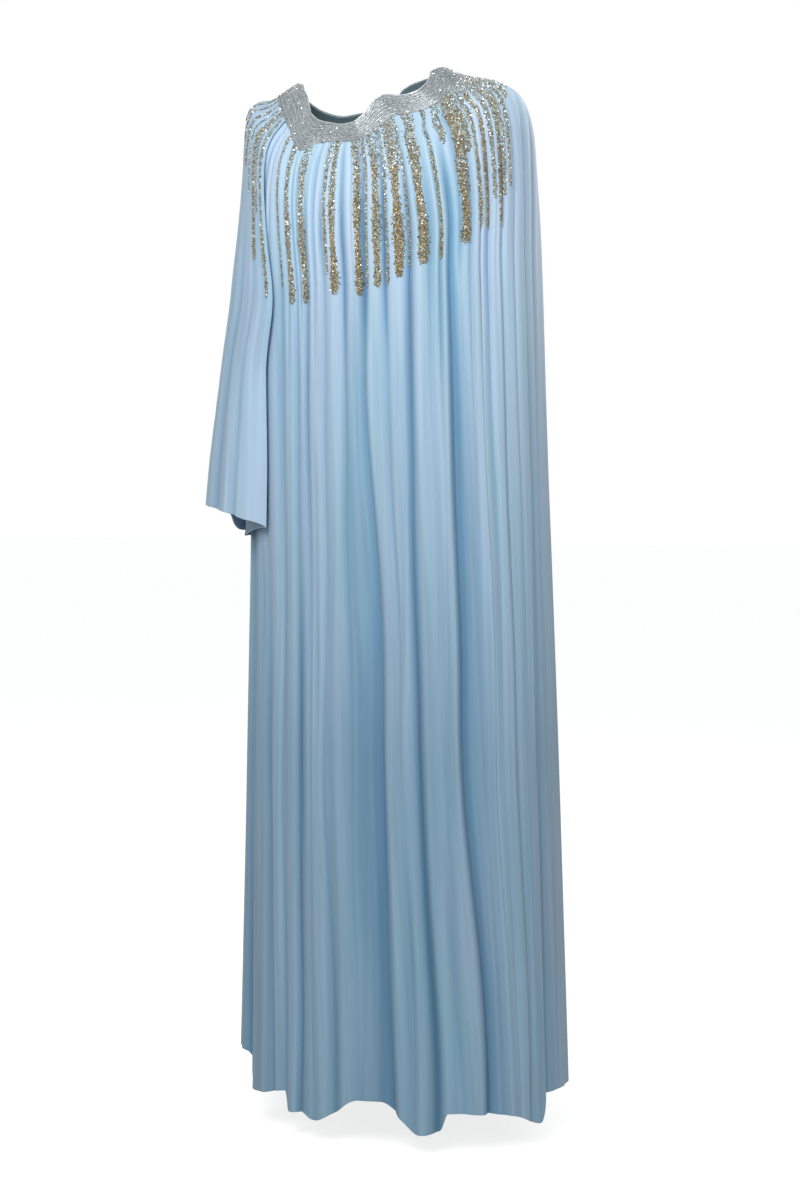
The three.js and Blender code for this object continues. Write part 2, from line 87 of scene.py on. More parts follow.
# The floor lies this far under the hem, reaches this far each way and glows this much.
FLOOR_GAP, FLOOR_REACH, FLOOR_GLOW = 0.03, 30.0, 0.8

# ---------------------------------------------------------------- the form the dress hangs in
# Lengths in these tables are millimetres, angles are degrees from the front centre towards the
# wearer's left, and a level is how far the cloth has run down from the neck.


def curve(places, values):
    """A smooth function through the values that never overshoots them."""
    places, values = np.asarray(places, float), np.asarray(values, float)
    steps = np.diff(places)
    slopes = np.diff(values) / steps
    tangents = np.concatenate([slopes[:1], np.zeros(len(steps) - 1), slopes[-1:]])
    for i in range(1, len(steps)):
        if slopes[i - 1] * slopes[i] > 0:
            before, after = 2 * steps[i] + steps[i - 1], steps[i] + 2 * steps[i - 1]
            tangents[i] = (before + after) / (before / slopes[i - 1] + after / slopes[i])

    def at(place):
        place = np.asarray(place, float)
        i = np.clip(np.searchsorted(places, place) - 1, 0, len(steps) - 1)
        t = np.clip((place - places[i]) / steps[i], 0, 1)
        rise = (values[i + 1] - values[i]) * t * t * (3 - 2 * t)
        lean = tangents[i] * t * (1 - t) ** 2 - tangents[i + 1] * t * t * (1 - t)
        return values[i] + rise + steps[i] * lean

    return at


def table(names, rows):
    """The named columns of a small table as smooth functions of its first column."""
    columns = list(zip(*rows))
    return {name: curve(columns[0], column) for name, column in zip(names[1:], columns[1:])}


FORM = table(
    ("level", "front_drop", "side_drop", "back_drop", "right", "left", "front", "back"),
    (
        (-45, 22, -21, 0, 88, 88, 60, 58),
        (-20, 52, -10, 24, 104, 104, 76, 72),
        (0, 78, 0, 42, 120, 118, 88, 82),
        (21, 107, 16, 72, 154, 155, 106, 104),
        (45, 135, 27, 100, 174, 197, 120, 124),
        (75, 165, 44, 130, 184, 228, 130, 138),
        (125, 208, 91, 176, 187, 243, 141, 152),
        (200, 262, 177, 236, 187, 249, 149, 163),
        (300, 332, 289, 320, 184, 254, 152, 169),
        (450, 462, 450, 456, 182, 260, 153, 173),
        (700, 702, 700, 700, 184, 270, 156, 185),
        (1000, 1000, 1000, 1000, 188, 280, 165, 200),
        (1300, 1300, 1300, 1300, 195, 289, 173, 217),
        (1480, 1480, 1480, 1480, 199, 294, 178, 227),
    ),
)
SECTION_ROUNDNESS = 2.25

YOKE_EDGES = table(
    ("angle", "neck", "outer"),
    (
        (-180, -26, 2), (-168, -14, 12), (-156, -2, 24), (-146, 6, 33), (-136, 13, 38),
        (-124, 15, 38), (-112, 13, 34), (-100, 6, 27), (-90, 1, 22), (-79, 0, 18), (-68, -8, 15),
        (-60, -13, 14), (-52, -16, 14), (-45, -16, 15), (-38, -13, 17), (-32, -7, 20), (-27, -2, 26),
        (-22, 0, 33), (-18, 1, 37), (-14, 1, 29), (-9, 1, 23), (-3, 2, 21), (4, 3, 22),
        (10, 3, 25), (15, 0, 26), (20, -6, 25), (25, -13, 22), (30, -13, 19), (35, -8, 20),
        (40, 0, 27), (46, 7, 33), (52, 10, 35), (58, 9, 30), (64, 5, 26), (70, 0, 25),
        (78, 0, 24), (90, 1, 22), (105, -4, 17), (120, -14, 10), (134, -27, 0),
        (146, -36, -8), (160, -38, -11), (171, -35, -7), (180, -26, 2),
    ),
)

# The deep folds: fold number, angle at the yoke, the knee and the hem, depth at the chest, waist,
# knee and hem, lean, which is 1 where the slope on the wearer's left of the crease is the gentle
# one, and how many folds the gentle slope runs over.
FOLD_ROWS = (
    (0, -96, -96, -96, 3, 6, 8, 12, 0.3, 1.2), (1, -84, -84, -84, 4, 5, 2, 2, -0.6, 0.8),
    (2, -72, -72, -71, 3, 6, 10, 14, 0.6, 1.7), (3, -61, -61, -59, 3, 5, 2, 2, -0.3, 0.8),
    (4, -51, -49, -44, 3, 6, 9, 13, 0.7, 1.6), (5, -43, -38, -32, 3, 4, 2, 2, -0.5, 0.8),
    (6, -35, -27, -20, 3, 4, 9, 10, -0.3, 1.0), (7, -21, -18, -14, 5, 5, 3, 4, 0.5, 0.9),
    (8, -12, -9, -6, 4, 5, 11, 10, 0.6, 1.0), (9, -6, -3, 1, 7, 9, 3, 3, -0.6, 1.4),
    (10, 2, 3, 7, 5, 4, 5, 7, 0.7, 1.0), (11, 9, 11, 14, 6, 6, 4, 3, 0.3, 0.8),
    (12, 16, 21, 25, 7, 10, 15, 13, -0.8, 2.0), (13, 23, 27, 31, 6, 6, 2, 3, -0.4, 0.8),
    (14, 31, 32, 38, 8, 11, 13, 14, -0.3, 0.9), (15, 38, 39, 46, 5, 3, 2, 4, 0.4, 0.8),
    (16, 45, 47, 55, 10, 15, 13, 15, 0.8, 1.6), (17, 53, 55, 62, 5, 3, 1, 2, -0.4, 0.7),
    (18, 61, 63, 68, 6, 5, 2, 3, -0.5, 0.8), (19, 68, 70, 74, 6, 8, 10, 9, 0.6, 1.2),
    (20, 76, 77, 80, 4, 4, 2, 2, -0.5, 0.8), (21, 85, 84, 87, 5, 8, 10, 13, 0.6, 1.5),
    (22, 94, 94, 95, 5, 6, 3, 3, -0.5, 0.9), (23, 105, 106, 106, 6, 8, 10, 13, 0.6, 1.6),
    (24, 116, 117, 118, 4, 5, 2, 3, -0.4, 0.8), (25, 128, 128, 129, 6, 9, 9, 13, 0.7, 1.6),
    (26, 141, 141, 142, 4, 5, 2, 2, -0.6, 0.8), (27, 153, 152, 152, 7, 11, 12, 15, -0.7, 1.8),
    (28, 165, 165, 166, 4, 5, 2, 2, 0.5, 0.8), (29, 177, 177, 178, 6, 9, 10, 13, 0.7, 1.6),
    (30, 190, 190, 190, 5, 6, 2, 3, -0.5, 0.8), (31, 202, 202, 203, 6, 10, 12, 14, -0.8, 1.8),
    (32, 214, 214, 215, 4, 5, 2, 2, 0.4, 0.8), (33, 226, 226, 226, 5, 8, 9, 12, 0.7, 1.6),
    (34, 239, 239, 240, 4, 5, 2, 2, -0.6, 0.8), (35, 251, 251, 252, 4, 7, 9, 12, 0.6, 1.6),
    (36, 264, 264, 264, 3, 6, 8, 12, 0.3, 1.2), (37, 276, 276, 276, 4, 5, 2, 2, -0.6, 0.8),
)
FOLD_COLUMNS = [np.array(column, float) for column in zip(*FOLD_ROWS)]
FOLD_NUMBER, YOKE_ANGLE, KNEE_ANGLE, HEM_ANGLE = FOLD_COLUMNS[:4]
CHEST_DEPTH, WAIST_DEPTH, KNEE_DEPTH, HEM_DEPTH = FOLD_COLUMNS[4:8]
LEAN, GENTLE_REACH = FOLD_COLUMNS[8:]
DRIFT_FROM, DRIFT_KNEE = 420.0, 900.0
CHEST_LEVEL, WAIST_LEVEL, KNEE_LEVEL, HEM_LEVEL = 180.0, 520.0, 1000.0, 1460.0
# How many folds a crease's steep slope runs over, and how sharp the creases are.
STEEP_REACH, FOLD_SHARPNESS = 0.2, 1.9
# The gathers: their mean depth, how uneven it is, the mean levels that they fade between, and how
# uneven each of those is.
GATHER_DEPTH, GATHER_UNEVEN = 3.7, 0.8
GATHER_FADES_FROM, GATHER_FADES_BY = (200, 80), (440, 150)
# How far the folds swing at the neck and over the shoulder, and sway lower down, in degrees, and
# the lengths in mm that the sways go by.
SIDE_SWING, FRONT_SWING, SHOULDER_FAN = 10, 5, 6.0
FOLD_SWAY, LONG_SWAY, SHORT_SWAY = 0.45, 148.0, 71.0
# How much shallower the gathers and the folds of the cape panel are.
CAPE_GATHER_CALM, CAPE_CALM = 0.85, 0.5

HEM = table(
    ("angle", "level"),
    (
        (-90, 1424), (-64, 1402), (-46, 1406), (-38, 1453), (-26, 1449), (-14, 1439), (-11, 1466),
        (-4, 1465), (1, 1472), (7, 1458), (14, 1436), (21, 1435), (27, 1455), (32, 1475), (38, 1471),
        (41, 1444), (52, 1446), (64, 1451), (80, 1470), (86, 1434), (97, 1435), (117, 1446), (150, 1440),
        (185, 1450), (220, 1442), (270, 1424),
    ),
)

SLEEVE = table(
    ("level", "front_seam", "front_fold", "back_fold", "back_seam", "clearance", "stand_off"),
    (
        (18, -42, -38, -142, -138, 0.8, 0),
        (45, -42, -37.5, -142, -138, 0.8, 14),
        (85, -42, -36, -142, -138, 1, 11),
        (130, -44, -33, -143, -136, 1.5, 10),
        (200, -55, -28.5, -143, -125, 2.5, 12),
        (300, -90, -24, -142, -90, 4, 21),
        (420, -90, -29, -140, -90, 4, 42),
        (560, -90, -28, -136, -90, 4, 60),
        (680, -90, -28.5, -132, -90, 4, 69),
    ),
)
UNDERARM_LEVEL = 300.0
SLEEVE_BULGE = 0.6
SLEEVE_EDGE_ROOM = 2.6
SLEEVE_RISE = 40.0
SLEEVE_LAP_SHARE = 0.12
SLEEVE_HEM_INNER, SLEEVE_HEM_FOLDS, SLEEVE_HEM_RISE = 658.0, 643.0, 34.0
SLEEVE_HEM_BACK_DROP = 42.0
SLEEVE_BACK_BY, SLEEVE_BACK_FROM = 0.36, 0.46
# The sleeve's folds, by their place from the back fold (0) to the front fold (1).
SLEEVE_FOLD_ROWS = (
    (0, 0.00, 0.00, 0, 0), (1, 0.06, 0.05, 3, 5), (2, 0.16, 0.15, 4, 9), (3, 0.27, 0.25, 3, 6),
    (4, 0.38, 0.35, 6, 11), (5, 0.50, 0.45, 3, 6), (6, 0.60, 0.55, 6, 10), (7, 0.69, 0.63, 3, 5),
    (8, 0.77, 0.71, 7, 10), (9, 0.84, 0.80, 5, 7), (10, 0.92, 0.90, 4, 6), (11, 1.0, 1.0, 0, 0),
)

# Seams, as places between folds, and the two ends of the yoke's share of the sleeve.
SIDE_SEAM, CAPE_FRONT_SEAM, CAPE_BACK_SEAM, SIDE_SEAM_ROUND = 0.5, 17.5, 24.5, 36.5
YOKE_FRONT_END = -38.0
YOKE_BACK_END = 218.0


def smoothstep(value, low, high):
    t = np.clip((np.asarray(value, float) - low) / (high - low), 0, 1)
    return t * t * (3 - 2 * t)


def mix(low, high, share):
    return low + (high - low) * share


def wrapped(angle):
    return np.mod(np.asarray(angle, float) + 180, 360) - 180


def normalised(vectors):
    return vectors / np.maximum(np.linalg.norm(vectors, axis=-1, keepdims=True), 1e-12)


def form_point(angle, level):
    """A point of the hanging form, with no folds."""
    angle, level = np.broadcast_arrays(np.asarray(angle, float), np.asarray(level, float))
    side, ahead = np.sin(np.radians(angle)), np.cos(np.radians(angle))
    width = np.where(side > 0, FORM["left"](level), FORM["right"](level))
    depth = np.where(ahead > 0, FORM["front"](level), FORM["back"](level))
    end_drop = np.where(ahead > 0, FORM["front_drop"](level), FORM["back_drop"](level))
    drop = end_drop * ahead**2 + FORM["side_drop"](level) * side**2
    power = np.abs(side) ** SECTION_ROUNDNESS + np.abs(ahead) ** SECTION_ROUNDNESS
    reach = power ** (-1 / SECTION_ROUNDNESS)
    return np.stack([width * side * reach, -depth * ahead * reach, -drop], -1)


def outward(surface, across, down, across_step=1.5, down_step=3.0):
    """The outward direction of a surface given as a function of two places."""
    around = surface(across + across_step, down) - surface(across - across_step, down)
    below = surface(across, down + down_step) - surface(across, down - down_step)
    return normalised(np.cross(below, around))


# ---------------------------------------------------------------- folds


def neck_lean(angle, level):
    """How far a fold swings round the neck before it hangs straight."""
    clear_of_sleeve = smoothstep(angle, -38, -16) * (1 - smoothstep(angle, 190, 218))
    swing = SIDE_SWING * np.sin(np.radians(angle)) - FRONT_SWING * np.cos(np.radians(angle))
    swing = clear_of_sleeve * swing * (1 - smoothstep(level, 20, 300))
    on_shoulder = smoothstep(angle, 15, 45) * (1 - smoothstep(angle, 78, 110))
    fan = smoothstep(level, 22, 62) * (1 - smoothstep(level, 62, 230))
    return swing - SHOULDER_FAN * on_shoulder * fan


def clear_of_side_seam(fold):
    """0 at the side seam, where the cloth's two ends meet, and 1 from one fold away."""
    return smoothstep(fold, 1, 2) * (1 - smoothstep(fold, 35, 36))


def fold_angle(fold, level):
    yoke = np.interp(fold, FOLD_NUMBER, YOKE_ANGLE)
    knee = np.interp(fold, FOLD_NUMBER, KNEE_ANGLE)
    hem = np.interp(fold, FOLD_NUMBER, HEM_ANGLE)
    angle = mix(yoke, knee, smoothstep(level, DRIFT_FROM, DRIFT_KNEE))
    angle = mix(angle, hem, smoothstep(level, DRIFT_KNEE, HEM_LEVEL))
    angle = angle + neck_lean(angle, level)
    sway = np.sin(level / LONG_SWAY + fold * 2.3) + 0.6 * np.sin(level / SHORT_SWAY + fold * 4.1)
    return angle + FOLD_SWAY * sway * smoothstep(level, 300, 600) * clear_of_side_seam(fold)


def fold_number(angle, level):
    """The fold at an angle: whole numbers are creases, and the rest lies between them."""
    angle, level = np.broadcast_arrays(np.asarray(angle, float), np.asarray(level, float))
    folds = fold_angle(FOLD_NUMBER, level[..., None])
    turned = folds[..., 0] + np.mod(angle - folds[..., 0], 360)
    before = np.clip((folds <= turned[..., None]).sum(-1) - 1, 0, len(FOLD_NUMBER) - 2)
    start = np.take_along_axis(folds, before[..., None], -1)[..., 0]
    end = np.take_along_axis(folds, before[..., None] + 1, -1)[..., 0]
    return before + (turned - start) / (end - start)


def leaning_pleat(place, ridge):
    """1 in the creases at whole places, 0 on the ridge that lies this share of the way between."""
    share = place - np.floor(place)
    away = np.where(share < ridge, 1 - share / ridge, (share - ridge) / (1 - ridge))
    return away**FOLD_SHARPNESS


def on_cape(place):
    """1 on the cape panel, whose cloth hangs more plainly, fading out over the next folds."""
    front = smoothstep(place, CAPE_FRONT_SEAM - 0.5, CAPE_FRONT_SEAM + 1.5)
    return front * (1 - smoothstep(place, CAPE_BACK_SEAM, CAPE_BACK_SEAM + 3))


def gathers(place, level):
    """Depth of the uneven gathers between the deep folds, which die out below the bust."""
    cell = np.floor(2 * place)
    ridge = 0.5 + 0.27 * np.sin(cell * 2.1 + 0.7)
    crease = np.where(2 * place - cell < ridge, cell, cell + 1)
    start = GATHER_FADES_FROM[0] + GATHER_FADES_FROM[1] * np.sin(crease * 0.85)
    end = GATHER_FADES_BY[0] + GATHER_FADES_BY[1] * np.sin(crease * 1.45)
    depth = GATHER_DEPTH * (1 + GATHER_UNEVEN * np.sin(crease * 2.7))
    depth = depth * (1 - CAPE_GATHER_CALM * on_cape(place)) * (1 - smoothstep(level, start, end))
    return depth * leaning_pleat(2 * place, ridge)


def deep_folds(place, level):
    """Depth of the deep folds: from each crease one slope rises steeply and the other gently."""
    last = len(FOLD_NUMBER) - 1
    nearest = np.floor(place).astype(int)
    depth = np.zeros(np.shape(place))
    for step in (-1, 0, 1, 2):
        fold = nearest + step
        away = place - fold
        fold = np.where(fold < 0, fold + last - 1, fold)
        fold = np.where(fold > last, fold - last + 1, fold)
        at_crease = CHEST_DEPTH[fold] * smoothstep(level, 30, CHEST_LEVEL)
        at_crease = mix(at_crease, WAIST_DEPTH[fold], smoothstep(level, CHEST_LEVEL, WAIST_LEVEL))
        at_crease = mix(at_crease, KNEE_DEPTH[fold], smoothstep(level, WAIST_LEVEL, KNEE_LEVEL))
        at_crease = mix(at_crease, HEM_DEPTH[fold], smoothstep(level, KNEE_LEVEL, HEM_LEVEL))
        side = np.where(away > 0, 1, -1) * LEAN[fold] * smoothstep(level, 60, 400)
        gentle = mix(0.8, GENTLE_REACH[fold], smoothstep(level, 200, 700))
        reach = mix(STEEP_REACH, gentle, (1 + side) / 2)
        depth = depth + at_crease * np.clip(1 - np.abs(away) / reach, 0, 1) ** FOLD_SHARPNESS
    return depth


def ripple(across, down, seed):
    """Smooth uneven waves from -1 to 1. One cell across and down is one unit of each place."""
    rng = np.random.default_rng(seed)
    grid = rng.uniform(-1, 1, (64, 512))
    i, j = np.floor(across).astype(int), np.floor(down).astype(int)
    s, t = across - i, down - j
    s, t = s * s * (3 - 2 * s), t * t * (3 - 2 * t)
    top = mix(grid[j % 64, i % 512], grid[j % 64, (i + 1) % 512], s)
    low = mix(grid[(j + 1) % 64, i % 512], grid[(j + 1) % 64, (i + 1) % 512], s)
    return mix(top, low, t)


# Single creases placed one by one: angle at their top and their foot, levels they run between, depth and
# half-width.
CREASES = (
    (-24, -20, 330, 900, 2.5, 1.2), (-19, -13, 640, 1440, 4.5, 1.6), (-13, -10, 300, 520, 2.5, 0.9),
    (-10, -6, 700, 1140, 4.0, 1.2), (-2, 3, 480, 1240, 4.0, 1.3), (4, 8, 860, 1460, 4.0, 1.7),
    (12.5, 13, 300, 620, 3.0, 0.9), (14, 16, 760, 1300, 4.5, 1.6), (19, 20, 300, 560, 2.5, 0.9),
    (27, 28, 330, 900, 3.5, 1.1), (29, 30, 900, 1460, 5.0, 1.8), (35, 38, 250, 1250, 3.5, 1.2),
    (41, 44, 620, 1440, 5.0, 1.7), (49, 56, 300, 1100, 3.0, 1.2), (57, 61, 700, 1440, 3.5, 1.6),
    (88, 86, 400, 1440, 3.5, 2.0), (99, 100, 450, 1100, 3.0, 2.0),
    (110, 112, 500, 1440, 4.5, 2.4), (122, 124, 300, 1300, 3.5, 2.0), (134, 135, 400, 1440, 4.0, 2.4),
    (146, 144, 600, 1440, 3.5, 2.0), (157, 158, 260, 1250, 3.0, 1.8), (168, 170, 500, 1440, 4.5, 2.4),
    (180, 180, 280, 1000, 3.0, 1.6), (191, 192, 420, 1440, 4.0, 2.2), (202, 203, 300, 1200, 3.0, 2.0),
    (213, 212, 600, 1440, 4.5, 2.4), (225, 226, 420, 1300, 3.5, 2.0), (237, 238, 560, 1440, 4.0, 2.2),
    (248, 249, 660, 1440, 3.5, 2.0), (-78, -78, 640, 1420, 3.5, 2.2), (-67, -65, 560, 1420, 4.0, 2.2),
    (-55, -52, 560, 1440, 3.5, 2.0), (-44, -40, 600, 1440, 4.0, 1.8), (-35, -29, 620, 1440, 4.0, 1.6),
)
CREASE_END = 130.0


def hand_creases(angle, level):
    depth = np.zeros(np.broadcast(angle, level).shape)
    for top_angle, foot_angle, start, end, deep, half_width in CREASES:
        centre = mix(top_angle, foot_angle, np.clip((level - start) / (end - start), 0, 1))
        across = wrapped(angle - centre) / half_width
        along = smoothstep(level, start, start + CREASE_END)
        along = along * (1 - smoothstep(level, end - CREASE_END, end + 1) * (end < HEM_LEVEL - 30))
        depth += deep * along * np.exp(-(across**2))
    return depth


def cloth_depth(angle, level):
    """How far the gathered cloth lies inside the hanging form."""
    sizes = bpy.context.scene.kaftan_sizes
    place = fold_number(angle, level)
    below = level - YOKE_EDGES["outer"](wrapped(angle))
    ramp = mix(0.3, 1, smoothstep(below, 0, 25))
    creases = hand_creases(angle, level) * sizes.crease_depth * smoothstep(level, 60, 260)
    clear = clear_of_side_seam(place)
    wide = clear * ripple(place * 0.9, level / 420, 3)
    fine = clear * ripple(place * 3.3, level / 300, 5)
    waves = sizes.ripple_depth / MM * (2.0 + wide * 1.4 + fine * 0.6) * smoothstep(level, 30, 420)
    folds = deep_folds(place, level) * (1 - CAPE_CALM * on_cape(place) * smoothstep(level, 100, 400))
    return ramp * gathers(place, level) + folds + creases + waves


def cloth_point(angle, level):
    inwards = outward(form_point, angle, level) * -cloth_depth(angle, level)[..., None]
    return form_point(angle, level) + inwards


def column_angle(fold, level):
    """The angle of a column of the cloth. Beside the sleeve the columns close up at the neck."""
    angle = fold_angle(fold, level)
    front = (angle - YOKE_FRONT_END) / (-90 - YOKE_FRONT_END)
    back = (angle - YOKE_BACK_END) / (270 - YOKE_BACK_END)
    above = np.asarray(level) < UNDERARM_LEVEL
    front_angle = mix(YOKE_FRONT_END, SLEEVE["front_seam"](level), front)
    back_angle = mix(YOKE_BACK_END, 360 + SLEEVE["back_seam"](level), back)
    angle = np.where(above & (front > 0), front_angle, angle)
    return np.where(above & (back > 0), back_angle, angle)


def hanging_cloth(fold, level):
    return cloth_point(column_angle(fold, level), level)


def sleeve_depth(share, level):
    """How far the sleeve's outer layer dips between its folds' ridges."""
    number, top, hem, waist_depth, hem_depth = (np.array(c, float) for c in zip(*SLEEVE_FOLD_ROWS))
    drift = smoothstep(level, 200, 640)
    places = mix(top, hem, np.asarray(drift)[..., None])
    share = np.broadcast_to(share, np.shape(level))
    before = np.clip((places <= share[..., None]).sum(-1) - 1, 0, len(number) - 2)
    start = np.take_along_axis(places, before[..., None], -1)[..., 0]
    end = np.take_along_axis(places, before[..., None] + 1, -1)[..., 0]
    place = before + np.clip((share - start) / (end - start), 0, 1)
    depth = mix(np.interp(place, number, waist_depth), np.interp(place, number, hem_depth), drift)
    fine = ripple(place * 3.7, level / 120, 11) + ripple(place * 9.1, level / 90, 12)
    ridge = 0.5 + 0.25 * np.sin(np.floor(place) * 2.3)
    return smoothstep(level, 30, 420) * (depth * leaning_pleat(place, ridge) + 0.5 * (1 + fine))


def sleeve_lift(share, level, angle):
    edge = np.maximum(0, 1 - np.minimum(share, 1 - share) / SLEEVE_LAP_SHARE)
    tube = smoothstep(level, 130, UNDERARM_LEVEL)
    room = (SLEEVE["clearance"](level) + SLEEVE_EDGE_ROOM) * mix(edge, 1, tube)
    bulge = np.sin(np.pi * np.clip(share, 0, 1)) ** SLEEVE_BULGE
    rise = smoothstep(level - YOKE_EDGES["outer"](wrapped(angle)), 0, SLEEVE_RISE)
    return room + (SLEEVE["stand_off"](level) * rise - sleeve_depth(share, level)) * bulge


def sleeve_outside(share, level):
    """A point of the sleeve's outer layer, share running from its back fold to its front fold."""
    share, level = np.broadcast_arrays(np.asarray(share, float), np.asarray(level, float))
    angle = mix(SLEEVE["back_fold"](level), SLEEVE["front_fold"](level), share)
    lift = sleeve_lift(share, level, angle)
    return form_point(angle, level) + outward(form_point, angle, level) * lift[..., None]


def yoke_point(angle, share):
    """A point of the yoke, share running from its neck edge to its outer edge."""
    place = wrapped(angle)
    return form_point(angle, mix(YOKE_EDGES["neck"](place), YOKE_EDGES["outer"](place), share))


# ---------------------------------------------------------------- meshes


def linked(name, mesh, *materials):
    for material in materials:
        mesh.materials.append(material)
    piece = bpy.data.objects.new(name, mesh)
    bpy.context.scene.collection.objects.link(piece)
    return piece


def shell(name, outer, inner, materials, ring=False, light=None):
    """A closed wall between two grids of points in mm, rows running down, columns round.

    light is 1 on the folds' ridges and 0 deep in their creases, for the silk's painted fold shade.
    """
    rows, columns = outer.shape[:2]
    spans = columns if ring else columns - 1
    row, column = np.mgrid[0 : rows - 1, 0:spans]
    row, column = row.ravel(), column.ravel()

    def at(face, r, c):
        return (face * rows + r) * columns + c % columns

    below, beside = row + 1, column + 1
    faces = [
        np.stack([at(0, row, column), at(0, below, column), at(0, below, beside), at(0, row, beside)], 1),
        np.stack([at(1, row, column), at(1, row, beside), at(1, below, beside), at(1, below, column)], 1),
    ]
    c, e = np.arange(spans), np.full(spans, rows - 1)
    z = np.zeros(spans, int)
    faces.append(np.stack([at(0, z, c), at(0, z, c + 1), at(1, z, c + 1), at(1, z, c)], 1))
    faces.append(np.stack([at(0, e, c), at(1, e, c), at(1, e, c + 1), at(0, e, c + 1)], 1))
    if not ring:
        r = np.arange(rows - 1)
        z, e = np.zeros(rows - 1, int), np.full(rows - 1, columns - 1)
        faces.append(np.stack([at(0, r, z), at(1, r, z), at(1, r + 1, z), at(0, r + 1, z)], 1))
        faces.append(np.stack([at(0, r, e), at(0, r + 1, e), at(1, r + 1, e), at(1, r, e)], 1))
    quads = np.concatenate(faces)
    points = np.concatenate([outer.reshape(-1, 3), inner.reshape(-1, 3)]) * MM
    mesh = bpy.data.meshes.new(name)
    mesh.vertices.add(len(points))
    mesh.vertices.foreach_set("co", points.astype(np.float32).ravel())
    mesh.loops.add(len(quads) * 4)
    mesh.loops.foreach_set("vertex_index", quads.astype(np.int32).ravel())
    mesh.polygons.add(len(quads))
    mesh.polygons.foreach_set("loop_start", np.arange(0, len(quads) * 4, 4, dtype=np.int32))
    mesh.polygons.foreach_set("use_smooth", np.ones(len(quads), bool))
    inside = np.zeros(len(quads), np.int32)
    inside[len(faces[0]) : 2 * len(faces[0])] = len(materials) - 1
    mesh.polygons.foreach_set("material_index", inside)
    mesh.update(calc_edges=True)
    # The painted fold shade, the same on both faces of the wall.
    if light is not None:
        shade = mesh.attributes.new("painted_fold_light", "FLOAT", "POINT")
        both_faces = np.concatenate([light.ravel(), light.ravel()])
        shade.data.foreach_set("value", both_faces.astype(np.float32))
    add_cloth_uv(mesh, outer, quads)
    piece = linked(name, mesh, *materials)
    if mesh.validate():
        raise RuntimeError(f"{name} has faces that had to be mended")
    return piece


def add_cloth_uv(mesh, outer, quads):
    """A UV map in metres along the cloth, so that its weave follows the folds."""
    rows, columns = outer.shape[:2]
    across = np.linalg.norm(np.diff(outer, axis=1), axis=-1).mean(0)
    down = np.linalg.norm(np.diff(outer, axis=0), axis=-1).mean(1)
    u = np.concatenate([[0], np.cumsum(across)]) * MM
    v = -np.concatenate([[0], np.cumsum(down)]) * MM
    place = quads.ravel() % (rows * columns)
    uv = np.stack([u[place % columns], v[place // columns]], 1)
    layer = mesh.uv_layers.new(name="cloth")
    layer.uv.foreach_set("vector", uv.astype(np.float32).ravel())


def grid_normals(points):
    """Outward directions of a grid whose rows run down and whose columns run round."""
    below, around = np.gradient(points, axis=0), np.gradient(points, axis=1)
    return normalised(np.cross(below, around))


# ---------------------------------------------------------------- node trees


def set_inputs(tree, node, inputs):
    """Gives a node its inputs, by name or number: each is a plain value or a socket to link."""
    for name, value in inputs.items():
        if isinstance(value, bpy.types.NodeSocket):
            tree.links.new(value, node.inputs[name])
        else:
            node.inputs[name].default_value = value


def add_node(tree, kind, inputs=None, **settings):
    node = tree.nodes.new(kind)
    for name, value in settings.items():
        setattr(node, name, value)
    set_inputs(tree, node, inputs or {})
    return node


def add_sockets(tree, sockets):
    """Gives a group its sockets: a name, INPUT or OUTPUT, and a kind."""
    for name, side, kind in sockets:
        tree.interface.new_socket(name, in_out=side, socket_type="NodeSocket" + kind)


def multiplied(tree, value, factor):
    return add_node(tree, "ShaderNodeMath", {0: value, 1: factor}, operation="MULTIPLY").outputs[0]


def multiplied_vector(tree, first, second):
    node = add_node(tree, "ShaderNodeVectorMath", {0: first, 1: second}, operation="MULTIPLY")
    return node.outputs["Vector"]


def scaled_vector(tree, vector, factor):
    node = add_node(tree, "ShaderNodeVectorMath", {0: vector, "Scale": factor}, operation="SCALE")
    return node.outputs["Vector"]


def mixed_colour(tree, low, high, share):
    inputs = {"Factor": share, "A": (*low, 1), "B": (*high, 1)}
    return add_node(tree, "ShaderNodeMix", inputs, data_type="RGBA").outputs["Result"]


def map_range(tree, value, start, end, low=0.0, high=1.0):
    inputs = {"Value": value, "From Min": start, "From Max": end, "To Min": low, "To Max": high}
    return add_node(tree, "ShaderNodeMapRange", inputs).outputs["Result"]


def bumped(tree, height, strength, depth, invert=False, **inputs):
    """The normal of a bump that is this deep, in metres."""
    inputs = {"Height": height, "Strength": strength, "Distance": depth, **inputs}
    return add_node(tree, "ShaderNodeBump", inputs, invert=invert).outputs["Normal"]


def attribute(tree, name):
    return add_node(tree, "ShaderNodeAttribute", attribute_name=name).outputs["Fac"]


def cloth_uv(tree):
    return add_node(tree, "ShaderNodeUVMap", uv_map="cloth").outputs["UV"]


def cloth_noise(tree, place, scale, detail, roughness=0.5):
    """Noise with this many cells to the metre across and down the cloth."""
    stretched = add_node(tree, "ShaderNodeMapping", {"Vector": place, "Scale": scale})
    inputs = {"Vector": stretched.outputs["Vector"], "Scale": 1.0, "Detail": detail, "Roughness": roughness}
    return add_node(tree, "ShaderNodeTexNoise", inputs).outputs["Fac"]


# ---------------------------------------------------------------- materials

# The weave: threads and grains to the metre, and how far the threads stand over the grain.
THREADS, GRAINS, THREAD_HEIGHT = 420.0, 900.0, 0.35
WEAVE_STRENGTH, WEAVE_DEPTH = 0.12, 0.0004
# Where the silk's colour changes down its length, in metres, partly its own colour and partly painted shade,
# and the painted shade in its folds' creases and painted light on their ridges.
DYE_AND_SHADE_FROM, DYE_AND_SHADE_BY = -0.3, -0.95
CREASE_PAINTED_SHADE, RIDGE_PAINTED_LIGHT = (0.48, 0.65, 0.745), (1.13, 1.07, 1.035)
